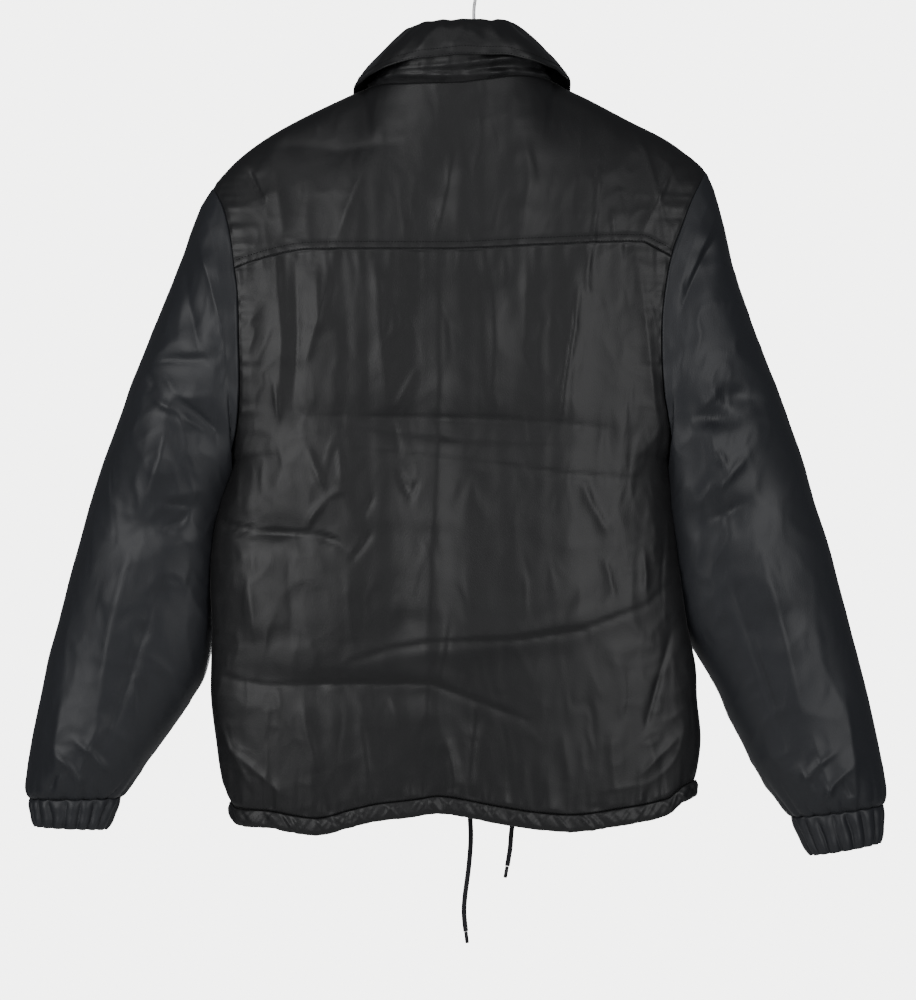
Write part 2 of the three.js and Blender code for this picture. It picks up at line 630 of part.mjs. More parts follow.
function frontGrid(side) {
  const columns = frontColumns(side);
  const rows = [...ARMHOLE_ROWS, ...LOWER_ARMHOLE_ROWS.slice(1), ...SIDE_ROWS];
  const outer = rows.map((down) => columns.map((column) => (
    torsoPoint(-1, frontAcross(column, down), down)
  )));
  const inner = rows.map((down, r) => columns.map((column, c) => (
    torsoNormal(-1, frontAcross(column, down), down).multiplyScalar(-WALL).add(outer[r][c])
  )));
  const hem = hemLine(outer, inner);
  rows.forEach((down, r) => columns.forEach((column, c) => {
    const rise = lapShare(side, outer[r][c].x, down) * LAP_RISE;
    outer[r][c].y -= rise;
    inner[r][c].y -= rise;
  }));
  trim(outer, inner, false);
  wallFrom(`front_${side}`, CLOTH, outer, inner, false);
  return hem;
}

// How fully the left front is lifted over the right one at a place
function lapShare(side, x, down) {
  if (side === 'right') return 0;
  const fromMiddle = x - openingX(down);
  return 1 - smooth(fromMiddle, LAP_FLAT, LAP_END);
}

// A casing that hangs under a panel's last row, gathered by its cord
function casing(name, line, side) {
  const sections = [];
  let travelled = 0;
  for (let i = 0; i < line.length - 1; i += 1) {
    const from = line[i];
    const to = line[i + 1];
    const length = from.point.distanceTo(to.point);
    const steps = Math.max(1, Math.round(length * STEPS_PER_GATHER / GATHER_PITCH));
    for (let s = i === 0 ? 0 : 1; s <= steps; s += 1) {
      const point = from.point.clone().lerp(to.point, s / steps);
      const out = from.out.clone().lerp(to.out, s / steps).normalize();
      const phase = (travelled + length * s / steps) * 2 * Math.PI / GATHER_PITCH;
      sections.push(casingSection(point, out, Math.cos(phase), side));
    }
    travelled += length;
  }
  shorten(sections);
  loft(name, CLOTH, sections);
}

function casingSection(point, out, wave, side) {
  const rise = side ? lapShare(side, point.x, 2) * HEM_LAP_RISE : 0;
  return CASING.map((corner) => {
    const gather = corner.gather * CASING_GATHER * wave;
    const place = out.clone().multiplyScalar(corner.out + gather).add(point);
    place.y -= rise;
    place.z -= corner.down + (corner.out < 0 && corner.down > 15 ? gather : 0);
    return place;
  });
}

// Takes half a seam gap off both ends of a lofted run
function shorten(sections) {
  const ends = [[0, 1], [sections.length - 1, sections.length - 2]];
  for (const [end, next] of ends) {
    const move = sections[next][0].clone().sub(sections[end][0]).setLength(SEAM_GAP / 2);
    sections[end].forEach((point) => point.add(move));
  }
}

// Collar columns by the turn round the neck, positive to the wearer's left
const collar = Object.fromEntries(
  ['foldOut', 'foldY', 'foldDrop', 'edgeOut', 'edgeY', 'edgeDrop'].map((key) => [key, curve(COLLAR, 'turn', key)]),
);

function seamPoint(sign, turn) {
  const face = turn <= 90 ? 1 : -1;
  const x = turn === 180 ? OPENING_TOP_X + sign * COLLAR_HALF_GAP : sign * neckX(turn);
  return torsoPoint(face, acrossOfX(x), 0);
}

function collarPoint(part, sign, turn) {
  const x = sign * collar[`${part}Out`](turn) + OPENING_TOP_X / 2;
  return new THREE.Vector3(x, collar[`${part}Y`](turn), -collar[`${part}Drop`](turn) - COLLAR_TILT * x);
}

function collarSigned() {
  const right = COLLAR_TURNS.slice(1).reverse().map((turn) => [-1, turn]);
  const left = COLLAR_TURNS.map((turn) => [1, turn]);
  return [...right, ...left];
}

// Outward directions at every point of a grid, from its neighbours
function gridNormals(grid, turn) {
  const rows = grid.length - 1;
  const columns = grid[0].length - 1;
  return grid.map((row, r) => row.map((_, c) => {
    const along = row[Math.min(c + 1, columns)].clone().sub(row[Math.max(c - 1, 0)]);
    const down = grid[Math.min(r + 1, rows)][c].clone().sub(grid[Math.max(r - 1, 0)][c]);
    return along.cross(down).multiplyScalar(turn).normalize();
  }));
}

// A collar strip from one profile at each turn round the neck
function collarStrip(name, profile, levelFirst) {
  const profiles = collarSigned().map(([sign, turn]) => profile(sign, turn));
  const outer = profiles[0].map((_, r) => profiles.map((points) => points[r]));
  const normals = gridNormals(outer, -1);
  if (levelFirst) normals[0].forEach((out) => out.setZ(0).normalize());
  const inner = outer.map((row, r) => row.map((point, c) => (
    point.clone().addScaledVector(normals[r][c], -COLLAR_WALL)
  )));
  wallFrom(name, CLOTH, outer, inner, false);
}

// Straight away from the neck's middle at a turn
function awayFromNeck(sign, turn) {
  const angle = THREE.MathUtils.degToRad(turn);
  return new THREE.Vector3(sign * Math.sin(angle), Math.cos(angle), 0);
}

function standProfile(sign, turn) {
  const seam = seamPoint(sign, turn);
  seam.z += 2 * SEAM_GAP;
  const away = awayFromNeck(sign, turn);
  seam.addScaledVector(away, -STAND_SET_IN);
  const top = collarPoint('fold', sign, turn).addScaledVector(away, -FOLD_INSET);
  top.z -= FOLD_ROOF;
  const swell = STAND_BULGE * (1 - smooth(turn, 45, 90));
  return spread(STAND_ROWS, (share) => (
    seam.clone().lerp(top, share).addScaledVector(away, swell * Math.sin(share * Math.PI))
  ));
}

// The leaf runs up from its free edge, over the fold, and a little way in above the stand
function leafProfile(sign, turn) {
  const edge = collarPoint('edge', sign, turn);
  const fold = collarPoint('fold', sign, turn);
  const away = awayFromNeck(sign, turn);
  const points = spread(LEAF_ROWS, (share) => {
    const swell = LEAF_BULGE * Math.sin(share * Math.PI);
    return edge.clone().lerp(fold, share).addScaledVector(away, swell);
  });
  return [...points, fold.clone().addScaledVector(away, -LIP)];
}

function spread(rows, at) {
  return Array.from({ length: rows + 1 }, (_, r) => at(r / rows));
}

function buildCollar() {
  collarStrip('collar_stand', standProfile, true);
  collarStrip('collar_leaf', leafProfile, false);
}

// A sleeve's point: turn 0 at the outer edge, half a turn at the edge next to the body
function sleevePoint(side, rings, turn, along) {
  const angle = turn * 2 * Math.PI;
  const whole = Math.min(Math.floor(along), rings.length - 1);
  const part = along - whole;
  const ring = (k) => ringPoint(side, rings, angle, Math.min(k, rings.length));
  const point = ring(whole).lerp(ring(whole + 1), part);
  const folds = side === 'left' ? LEFT_SLEEVE_FOLDS : RIGHT_SLEEVE_FOLDS;
  const calm = smooth(along, 0.3, 2.5) * (1 - smooth(along, rings.length - 2, rings.length));
  const lift = calm * foldRelief(folds, point.x, -point.z);
  const drawnIn = 0.4 * Math.max(lift, 0) * Math.max(-Math.cos(angle), 0);
  point.y += Math.sin(angle) * lift;
  point.x += SIGN[side] * drawnIn;
  return point;
}

function ringPoint(side, rings, angle, k) {
  const sign = SIGN[side];
  const share = (1 - Math.cos(angle)) / 2;
  const tip = TIP[side];
  const underarm = sign * armholeOut[side](1);
  const bow = sign * armholeOut[side](share) - mix(tip.x, underarm, share);
  if (k === 0) {
    const drop = mix(tip.drop, UNDERARM_DROP, share);
    return new THREE.Vector3(sign * armholeOut[side](share), ARMHOLE_DEPTH * Math.sin(angle), -drop);
  }
  const ring = rings[k - 1];
  const fade = Math.max(1 - k / BOW_RINGS, 0) ** 1.5;
  const x = sign * mix(ring.outX, ring.inX, share) + bow * fade;
  const z = -mix(ring.outDrop, ring.inDrop, share);
  return new THREE.Vector3(x, ring.half * Math.sin(angle) - ring.lean, z);
}

// Turns round a sleeve that match the rows of the back (first half) and of the front
const HALF_TURNS = [...ARMHOLE_ROWS, ...LOWER_ARMHOLE_ROWS.slice(1)].map((down) => down / 2);
const SLEEVE_TURNS = [...HALF_TURNS, ...HALF_TURNS.slice(1, -1).reverse().map((turn) => 1 - turn)];

// The plane of a ring: straight out across it, for walls that end square
function ringOut(side, ring, angle) {
  const sign = SIGN[side];
  const axis = new THREE.Vector3(sign * (ring.outX - ring.inX), 0, ring.inDrop - ring.outDrop);
  const half = axis.length() / 2;
  const flat = axis.normalize().multiplyScalar(Math.cos(angle) / half);
  return flat.add(new THREE.Vector3(0, Math.sin(angle) / ring.half, 0)).normalize();
}

function buildSleeve(side, rings) {
  const surface = (turn, along) => sleevePoint(side, rings, turn, along);
  const count = rings.length;
  const outer = [];
  const inner = [];
  for (let k = 0; k <= count; k += 1) {
    outer.push(SLEEVE_TURNS.map((turn) => surface(turn, k)));
    inner.push(SLEEVE_TURNS.map((turn, c) => {
      const angle = turn * 2 * Math.PI;
      const out = normalOf(surface, turn, k, [-1, 2], [0, count], -SIGN[side]);
      const face = turn <= 0.5 ? 1 : -1;
      const down = turn <= 0.5 ? turn * 2 : (1 - turn) * 2;
      if (k < 3) out.lerp(armholeNormal(side, face, down), 1 - k / 3).normalize();
      if (k === count) out.copy(ringOut(side, rings[count - 1], angle));
      return outer[k][c].clone().addScaledVector(out, -WALL);
    }));
  }
  trim(outer, inner, true, 1.5 * SEAM_GAP);
  wallFrom(`sleeve_${side}`, CLOTH_TINTED, outer, inner, true);
}

// An elastic cuff: gathers swell between its two edges and die out at the sleeve seam
function buildCuff(side, rings, end) {
  const start = rings[rings.length - 1];
  const steps = CUFF_GATHERS * STEPS_PER_CUFF_GATHER;
  const drop = { x: (end.inX + end.outX - start.inX - start.outX) / 2, z: -30 };
  const away = new THREE.Vector3(SIGN[side] * drop.x, 0, drop.z).setLength(SEAM_GAP);
  const outer = [];
  const inner = [];
  for (let r = 0; r <= CUFF_ROWS; r += 1) {
    const share = r / CUFF_ROWS;
    const ring = Object.fromEntries(Object.keys(start).map((key) => [key, mix(start[key], end[key], share)]));
    const swell = CUFF_SWELL * Math.sin(share * Math.PI);
    outer.push([]);
    inner.push([]);
    for (let i = 0; i < steps; i += 1) {
      const angle = i / steps * 2 * Math.PI;
      const out = ringOut(side, ring, angle);
      const wave = Math.cos(angle * CUFF_GATHERS);
      const ruck = CUFF_GATHER_DEPTH * (wave - 1) / 2 * Math.sqrt(smooth(share, 0, 0.3));
      const x = SIGN[side] * mix(ring.outX, ring.inX, (1 - Math.cos(angle)) / 2);
      const z = -mix(ring.outDrop, ring.inDrop, (1 - Math.cos(angle)) / 2);
      const point = new THREE.Vector3(x, ring.half * Math.sin(angle) - ring.lean, z);
      point.addScaledVector(out, swell + ruck).add(away);
      outer[r].push(point);
      inner[r].push(point.clone().addScaledVector(out, -WALL));
    }
  }
  wallFrom(`cuff_${side}`, CLOTH_TINTED, outer, inner, true);
}

// A turned piece whose profile closes on the axis or on itself, set on a place of the cloth
function addTurned(name, finish, profile, sides, place, out) {
  const geometry = new THREE.LatheGeometry(profile.map(([r, h]) => new THREE.Vector2(r, h)), sides);
  geometry.deleteAttribute('normal');
  geometry.deleteAttribute('uv');
  const merged = mergeVertices(geometry);
  const mesh = addMesh(name, finish, merged);
  mesh.quaternion.setFromUnitVectors(new THREE.Vector3(0, 1, 0), out);
  mesh.position.copy(place);
}

function buildSnaps() {
  const { radius, height, sides, stand } = SNAP;
  const profile = [
    [0, 0],
    [radius, 0],
    [radius, height * 0.45],
    [radius * 0.86, height * 0.85],
    [radius * 0.6, height],
    [0, height * 0.8],
  ];
  SNAP_DROPS.forEach((drop, i) => {
    const down = frontDownAt(drop);
    const across = acrossOfX(openingX(down));
    const out = torsoNormal(-1, across, down);
    const place = torsoPoint(-1, across, down);
    place.y -= LAP_RISE;
    addTurned(`snap_${i + 1}`, METAL, profile, sides, place.addScaledVector(out, stand), out);
  });
}

// The row of the front's middle line that lies at a drop
function frontDownAt(drop) {
  let low = 0;
  let high = 2;
  for (let i = 0; i < 30; i += 1) {
    const mid = (low + high) / 2;
    if (-torsoPoint(-1, acrossOfX(openingX(mid)), mid).z < drop) low = mid;
    else high = mid;
  }
  return low;
}

function eyeletPlace(side) {
  const x = EYELET_X[side];
  const middle = (HEM_END_X.left + HEM_END_X.right) / 2;
  const across = (x - middle) / (HEM_END_X.left - middle);
  const point = torsoPoint(-1, across, 2);
  const out = torsoNormal(-1, across, 2);
  point.y -= lapShare(side, x, 2) * HEM_LAP_RISE;
  point.z -= EYELET_DOWN;
  return { point: point.addScaledVector(out, EYELET_OUT), out };
}

function buildEyelet(side) {
  const { outer, inner, height, sides } = EYELET;
  const profile = [
    [inner, 0],
    [outer, 0],
    [outer * 0.96, height * 0.6],
    [(outer + inner) / 2, height],
    [inner, height * 0.6],
    [inner, 0],
  ];
  const { point, out } = eyeletPlace(side);
  addTurned(`eyelet_${side}`, METAL, profile, sides, point, out);
}

// A round bar or cord along a smooth route
function addRod(name, finish, route, radius, sides, steps) {
  const path = new THREE.CatmullRomCurve3(route.map((point) => new THREE.Vector3(...point)), false, 'centripetal');
  const section = new THREE.Shape();
  for (let i = 0; i < sides; i += 1) {
    const angle = i / sides * 2 * Math.PI;
    const [x, y] = [radius * Math.cos(angle), radius * Math.sin(angle)];
    if (i === 0) section.moveTo(x, y);
    else section.lineTo(x, y);
  }
  section.closePath();
  const geometry = new THREE.ExtrudeGeometry(section, { extrudePath: path, steps, bevelEnabled: false });
  geometry.deleteAttribute('normal');
  geometry.deleteAttribute('uv');
  addMesh(name, finish, mergeVertices(geometry, 1e-4));
}

function buildCord(side) {
  const route = CORD_ROUTE[side];
  const steps = route.length + 5;
  addRod(`cord_${side}`, CORD_COLOUR, route, CORD_DIAMETER / 2, 8, steps);
  const end = new THREE.Vector3(...route[route.length - 1]);
  const before = new THREE.Vector3(...route[route.length - 2]);
  const way = end.clone().sub(before).normalize();
  const { radius, length } = AGLET;
  const profile = [
    [0, 0],
    [radius * 0.8, 0],
    [radius, 0.8],
    [radius, length - 1.2],
    [radius * 0.7, length],
    [0, length],
  ];
  addTurned(`aglet_${side}`, METAL, profile, 10, end.addScaledVector(way, SEAM_GAP), way);
}

function buildHanger() {
  const below = WALL + BAR_CLEARANCE + BAR_RADIUS;
  const route = [];
  const steps = 16;
  for (let i = 0; i <= steps; i += 1) {
    const x = mix(-BAR_HALF_LENGTH, BAR_HALF_LENGTH, i / steps);
    const inNeck = Math.abs(x) < BAR_NECK;
    const slope = (backTop(x + 2) - backTop(x - 2)) / 4;
    const drop = inNeck ? neckBarDrop(x, below) : backTop(x) + below * Math.hypot(1, slope);
    route.push([x, 0, -drop]);
  }
  addRod('hanger', PLASTIC, route, BAR_RADIUS, 10, 24);
  const top = neckBarDrop(HOOK_ROUTE[0][0], below) - BAR_RADIUS - HOOK_GAP;
  const hook = HOOK_ROUTE.map((point, i) => (i === 0 ? [point[0], 0, -top] : point));
  addRod('hook', STEEL, hook, HOOK_RADIUS, 8, 28);
}

// The bar's middle runs in a low arch between the two neck points
function neckBarDrop(x, below) {
  const left = backTop(BAR_NECK) + below * 1.1;
  const right = backTop(-BAR_NECK) + below * 1.1;
  const share = (x + BAR_NECK) / (2 * BAR_NECK);
  return mix(right, left, share) - BAR_ARCH * Math.sin(share * Math.PI);
}

backGrid('back_yoke', ARMHOLE_ROWS);
const backHem = backGrid('back_panel', [...LOWER_ARMHOLE_ROWS, ...SIDE_ROWS]);
const leftHem = frontGrid('left');
const rightHem = frontGrid('right');
casing('hem_back', backHem, null);
casing('hem_front_left', leftHem, 'left');
casing('hem_front_right', rightHem, 'right');
buildCollar();
buildSleeve('left', LEFT_SLEEVE);
buildSleeve('right', RIGHT_SLEEVE);
buildCuff('left', LEFT_SLEEVE, LEFT_CUFF);
buildCuff('right', RIGHT_SLEEVE, RIGHT_CUFF);
buildSnaps();
buildEyelet('left');
buildEyelet('right');
buildCord('left');
buildCord('right');
buildHanger();

export default group;
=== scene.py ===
"""The looks of a coach jacket that hangs on a plain bar hanger, seen from behind.

Sizes are millimetres in the row frame until a mesh is made. +Z is up, +Y the wearer's back and
+X the wearer's left. A drop is how far a place lies below the inside top of the hanger's hook.
"""

import bpy
import numpy as np
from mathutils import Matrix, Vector


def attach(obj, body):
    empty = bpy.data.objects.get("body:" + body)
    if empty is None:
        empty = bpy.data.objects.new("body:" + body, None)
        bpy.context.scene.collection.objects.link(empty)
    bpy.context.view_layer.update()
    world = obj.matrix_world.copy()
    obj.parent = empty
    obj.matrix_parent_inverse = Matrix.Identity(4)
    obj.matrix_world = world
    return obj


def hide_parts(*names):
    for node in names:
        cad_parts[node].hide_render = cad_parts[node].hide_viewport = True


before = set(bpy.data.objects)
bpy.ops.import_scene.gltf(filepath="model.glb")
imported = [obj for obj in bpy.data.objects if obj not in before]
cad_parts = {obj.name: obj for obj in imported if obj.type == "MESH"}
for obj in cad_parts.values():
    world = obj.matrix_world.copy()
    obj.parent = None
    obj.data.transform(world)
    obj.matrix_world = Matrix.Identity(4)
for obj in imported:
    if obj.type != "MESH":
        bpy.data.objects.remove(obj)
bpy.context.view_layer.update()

MM = 0.001

# Camera: it looks straight at the back from far away, as the photo does
CAMERA_DISTANCE = 4000
PHOTO_HEIGHT = 970
PHOTO_CENTRE_X = 1.9
PHOTO_CENTRE_DROP = 512.2
SENSOR_HEIGHT = 36

# Cords, from their eyelets down, in metres
CORD_DIAMETER = 0.005
CORD_ROUTE = {
    "left": [
        (-0.009, -0.0565, -0.8092),
        (-0.0091, -0.0603, -0.810),
        (-0.0093, -0.0638, -0.8123),
        (-0.0096, -0.066, -0.816),
        (-0.0099, -0.0666, -0.821),
        (-0.0103, -0.0662, -0.830),
        (-0.0107, -0.0654, -0.840),
        (-0.0106, -0.0648, -0.850),
        (-0.0097, -0.0643, -0.863),
        (-0.0083, -0.0638, -0.877),
        (-0.0066, -0.0634, -0.890),
        (-0.0049, -0.063, -0.903),
        (-0.004, -0.0627, -0.916),
        (-0.0046, -0.0625, -0.927),
        (-0.0058, -0.0624, -0.937),
    ],
    "right": [
        (-0.0535, -0.0468, -0.8177),
        (-0.0535, -0.0486, -0.8179),
        (-0.0534, -0.0504, -0.8185),
        (-0.0531, -0.0538, -0.8208),
        (-0.0526, -0.056, -0.8244),
        (-0.052, -0.0566, -0.829),
        (-0.0512, -0.0564, -0.834),
        (-0.0505, -0.056, -0.840),
        (-0.050, -0.0556, -0.846),
        (-0.0496, -0.0552, -0.852),
        (-0.049, -0.0548, -0.857),
        (-0.0482, -0.0545, -0.862),
        (-0.0474, -0.0542, -0.867),
        (-0.0465, -0.054, -0.872),
    ],
}
AGLET_LENGTH = 11.5
AGLET_RADIUS = 1.9
AGLET_GAP = 0.3

# Cloth
SHELL_THICKNESS = 1.4
FOLD_END_SHARE = 0.35
CREASE_SHARPNESS = 1.15  # 2 rounds a crease's crest, 1 gives it an edge
CREASE_GAIN = 1.5
CREASE_UNEVEN = 0.35
CREASE_BEAT = 17
CREASE_SHOULDER = 0.3
SLEEVE_CREASE_GAIN = 1.4
SEAM_GROOVE_DEPTH = 0.9
SEAM_GROOVE_WIDTH = 2.4
STITCH_PITCH = 3.0
STITCH_LENGTH = 2.1
STITCH_RADIUS = 0.36
STITCH_ARCH = 0.25

# Uneven waves of the cloth: height, and how far apart they are across and down
DRAPES = [(0.7, 21, 190), (0.35, 11, 120)]
SWELLS = [(0.5, 48, 60), (0.25, 17, 19)]
CRUMPLES = [(0.75, 34, 42), (0.35, 15, 19)]
HEM_PUCKERS = [(1.9, 7, 50), (0.95, 3.6, 30)]
YOKE_LOW_PUCKERS = [(0.9, 8, 70), (0.45, 4.2, 40)]
YOKE_HIGH_PUCKERS = [(0.35, 4, 20)]
DRAPE_FADE = 0.45
DRAPE_FADE_DROPS = (430, 620)
MIDDLE_CRISPNESS = 0.35
CRISP_FROM_MIDDLE = (90, 200)
SIDE_PUCKER = 0.8
SIDE_PUCKER_REACH = 13
HEM_PUCKER_REACH = 19
YOKE_LOW_REACH = 22
YOKE_HIGH_REACH = 9
YOKE_LAYER = 0.7
YOKE_STITCH_DIP = 0.4
YOKE_STITCH_UP = 7
YOKE_STITCH_REACH = 1.8

# Seeds, so that no two patterns of waves are alike
DRAPE_SEED = 11
SWELL_SEED = 13
CRUMPLE_SEED = 15
SIDE_SEED = 21
HEM_SEED = 23
YOKE_SEED = 25
CASING_SEED = 28
STAND_SEED = 31
LEAF_SEED = 33
SLEEVE_SEED = {"left": 40, "right": 60}
CUFF_SEED = {"left": 80, "right": 90}

# Torso
SIGN = {"left": 1, "right": -1}
TIP_X = {"left": 240, "right": -239}
TIP_DROP = {"left": 209.5, "right": 194}
UNDERARM_DROP = 472
ARMHOLE_DEPTH = 38
BACK_DEPTH = [(100, 52), (450, 55), (640, 54), (820, 46)]
FRONT_DEPTH = [(100, 48), (450, 50), (640, 50), (820, 42)]
SHOULDER_ROUNDING = 260
NECK_HALF_WIDTH = 90
BACK_NECK_DEPTH = 46
FRONT_NECK_DEPTH = 48
YOKE_ROW = 0.37
BACK_TOP = [
    (-239, 194), (-226, 182), (-200, 163), (-163, 144), (-125, 124), (-103, 113.5), (-89, 106),
    (-58, 103.5), (-15, 109.5), (0, 111.5), (54, 111.5), (73, 111), (90, 113), (107, 120),
    (157, 144), (190, 163), (215, 182), (234, 202), (240, 209.5),
]
FRONT_NECK = [
    (-89, 106), (-80, 122), (-60, 143), (-30, 159), (0, 165), (30, 160), (60, 146), (80, 126), (90, 113),
]
YOKE_SEAM = [
    (-205, 277.8), (-190, 270), (-176, 264), (-90, 267), (0, 271.5), (150, 272), (181, 277.5), (218, 288.6),
]
HEM_SEAM = [
    (-229, 783), (-215, 789), (-200, 800), (-147, 810), (-110, 814.5), (-73, 812), (-35, 806), (0, 799),
    (22, 796.5), (45, 800), (79, 804), (105, 810), (135, 818), (160, 816), (183, 812), (217, 810), (223, 804),
]
ARMHOLE_OUT = {
    "left": [(0, 240), (0.06, 231), (0.12, 225.5), (0.2, 221), (0.28, 218), (0.4, 214), (0.55, 213),
             (0.75, 212.5), (0.9, 216), (1, 223)],
    "right": [(0, 239), (0.06, 230), (0.12, 222), (0.2, 213.5), (0.28, 205), (0.4, 198), (0.55, 194),
              (0.75, 196), (0.9, 203), (1, 207.5)],
}
SIDE_OUT = {
    "left": [(472, 223), (506, 233), (550, 241.5), (594, 243.5), (633, 241.5), (673, 242.5), (704, 242.5),
             (745, 237.7), (784, 231.8), (803, 223)],
    "right": [(472, 207.5), (506, 208.6), (550, 211), (594, 216), (633, 221.5), (673, 229.6), (704, 231),
              (745, 234.5), (784, 229), (803, 223)],
}
HEM_END_DROP = {"left": 804, "right": 783}
HEM_END_X = {"left": 223, "right": -229}
YOKE_END_X = {"left": 218, "right": -205}
MEAN_TIP_DROP = 202
MEAN_HEM_DROP = 793
TORSO_HALF_WIDTH = 225
SIDE_POWER = 2.6
COLLAR_SPREAD = (20, 190)

# Front opening
OPENING_TOP_X = -4
OPENING_HEM_X = -30
LAP = 17
LAP_FLAT = 30
LAP_END = 62
LAP_RISE = 3.7
HEM_LAP_RISE = 8.9
PLACKET_STITCH = 26

# Hem casing: how far out and down each corner of its section lies, and how much it is gathered
CASING = [
    (0.3, 0.5, 0.1), (0.8, 2, 0.6), (1.3, 5, 1), (1.4, 9, 1), (1.1, 12.5, 1), (-0.2, 15.5, 0.9),
    (-2.4, 16.8, 0.7), (-4.2, 15, 0.4), (-5, 11.5, 0), (-5.2, 6, 0), (-5, 0.5, 0), (-2, 0.3, 0),
]
CASING_GATHER = 0.95
CASING_STEP = 1.5
CASING_SLANT = 0.8

# Collar by the turn round the neck: 0 at the back, 180 at the opening
COLLAR_FOLD = [
    (0, 0, 50, 51), (15, 17, 49.5, 52), (30, 32, 46, 53), (45, 44, 39, 54.5), (60, 53, 29, 57),
    (75, 60, 16, 61), (90, 65, 2, 66), (105, 67, -12, 75), (120, 66, -24, 88), (135, 59, -36, 104),
    (150, 44, -45, 122), (165, 24, -51, 140), (180, 5, -54, 151),
]
COLLAR_EDGE = [
    (0, 0, 61, 86.5), (15, 26, 60, 87), (30, 50, 57, 89.5), (45, 72, 50, 94), (60, 88, 38, 100),
    (75, 98, 19, 105), (90, 105, 0, 108.5), (105, 105, -20, 121), (120, 99, -31, 143), (135, 88, -38, 165),
    (150, 72, -46, 184), (165, 54, -52, 202), (180, 40, -55, 213),
]
COLLAR_TILT = 0.035
COLLAR_HALF_GAP = 3
FOLD_INSET = 3.4
FOLD_ROOF = 5.8
LIP = 7
STAND_SET_IN = 1.6
STAND_FOOT_DROP = 1.8  # the stand reaches this far down inside the neck seam
STAND_BULGE = 8
LEAF_BULGE = 4
LEAF_STITCH = 8
LEAF_STITCH_ROW = 8
EDGE_STITCH = 1.6

# Sleeves, ring by ring: inner edge x and drop, outer edge x and drop, half depth, lean to the front
LEFT_SLEEVE = [
    (228.5, 477, 251, 227, 39, 0), (230, 484, 260, 250, 40, 1), (233, 492, 270, 279, 41, 2),
    (237, 502, 286, 318, 42, 4), (241, 515, 302, 357, 43, 6), (245, 534, 318, 396, 44, 9),
    (247, 558, 332, 435, 45, 12), (248.2, 586, 346, 473, 45, 15), (248, 614, 359, 512, 45, 18),
    (247, 642, 370, 551, 45, 20), (247.5, 668, 381, 590, 45, 22), (251, 689, 391, 629, 44, 24),
    (262, 707, 401.6, 667, 43, 25), (275, 727, 410, 706, 42, 26), (291, 749, 418, 745, 41, 27),
    (307, 771, 423, 776, 39, 28), (321, 791, 425, 794, 34, 28), (331, 803, 421, 804, 27, 28),
]
RIGHT_SLEEVE = [
    (210.5, 477, 246.5, 211, 39, 0), (212.2, 484, 252, 230, 40, 1), (213, 493, 258, 254, 41, 2),
    (213.5, 505, 266, 288, 42, 4), (214, 520, 276, 318, 43, 6), (215, 540, 290, 357, 44, 9),
    (217.6, 565, 305.5, 396, 45, 12), (220.7, 592, 320, 435, 45, 15), (224.5, 618, 334, 473, 45, 18),
    (230, 643, 345, 512, 45, 20), (238, 667, 358, 551, 45, 22), (247, 687, 368.6, 590, 44, 24),
    (256, 707, 379, 629, 43, 25), (264, 727, 389, 667, 42, 26), (274, 747, 399, 706, 41, 27),
    (285, 769, 408, 746, 40, 28), (299, 792, 414.5, 779, 38, 28), (313, 811, 417, 799, 34, 28),
    (323, 822, 414, 810, 27, 28),
]
SLEEVE = {"left": LEFT_SLEEVE, "right": RIGHT_SLEEVE}
BOW_RINGS = 5
SLEEVE_TUCK = {"left": 9.5, "right": 10.5}  # the inner edge lies this far in, behind the torso's side
TUCK_END = {"left": 11.5, "right": 12.0}  # the ring by which the sleeve has come clear of the torso
CUFF_END = {"left": (344, 834, 416, 831, 24, 28), "right": (341, 859.5, 411.5, 847, 24, 28)}
CUFF_GATHERS = 18
CUFF_GATHER_DEPTH = 3.4
CUFF_SWELL = 2.4
CUFF_ELASTIC = 0.5
RING_STEP = 34  # about the length of sleeve from one ring to the next
ELBOW_LENGTH = 210
ELBOW_REACH = 110

# The largest folds, which the solids have too: width, rise, the two ends
BACK_FOLDS = [
    (26, 3.5, (23, 415), (23, 730)),
    (18, -5, (239, 533), (135, 548)),
    (18, -3.5, (250, 684), (4, 700)),
    (20, 4, (90, 672), (-216, 596)),
    (18, -3, (150, 432), (-140, 446)),
    (22, 3, (-132, 175), (-99, 440)),
    (20, 3, (88, 185), (118, 268)),
]
FRONT_FOLDS = [
    (26, 4, (150, 200), (70, 420)),
    (26, 4, (-150, 195), (-80, 430)),
    (20, -4, (238, 560), (90, 590)),
    (20, -4, (-215, 600), (-110, 570)),
    (26, 3.5, (130, 520), (120, 740)),
    (26, 3.5, (-140, 480), (-130, 720)),
]
SLEEVE_FOLDS = {
    "left": [
        (16, -4, (322, 385), (236, 388)),
        (16, -5, (290, 420), (232, 450)),
        (18, -4, (330, 548), (250, 518)),
        (18, 3, (283, 443), (302, 512)),
        (22, 3, (400, 640), (380, 790)),
    ],
    "right": [
        (16, -5, (-222, 435), (-278, 418)),
        (16, -4, (-232, 418), (-310, 406)),
        (16, -4, (-238, 534), (-290, 512)),
        (18, -4, (-252, 240), (-218, 310)),
        (22, 3, (-390, 650), (-372, 800)),
    ],
}

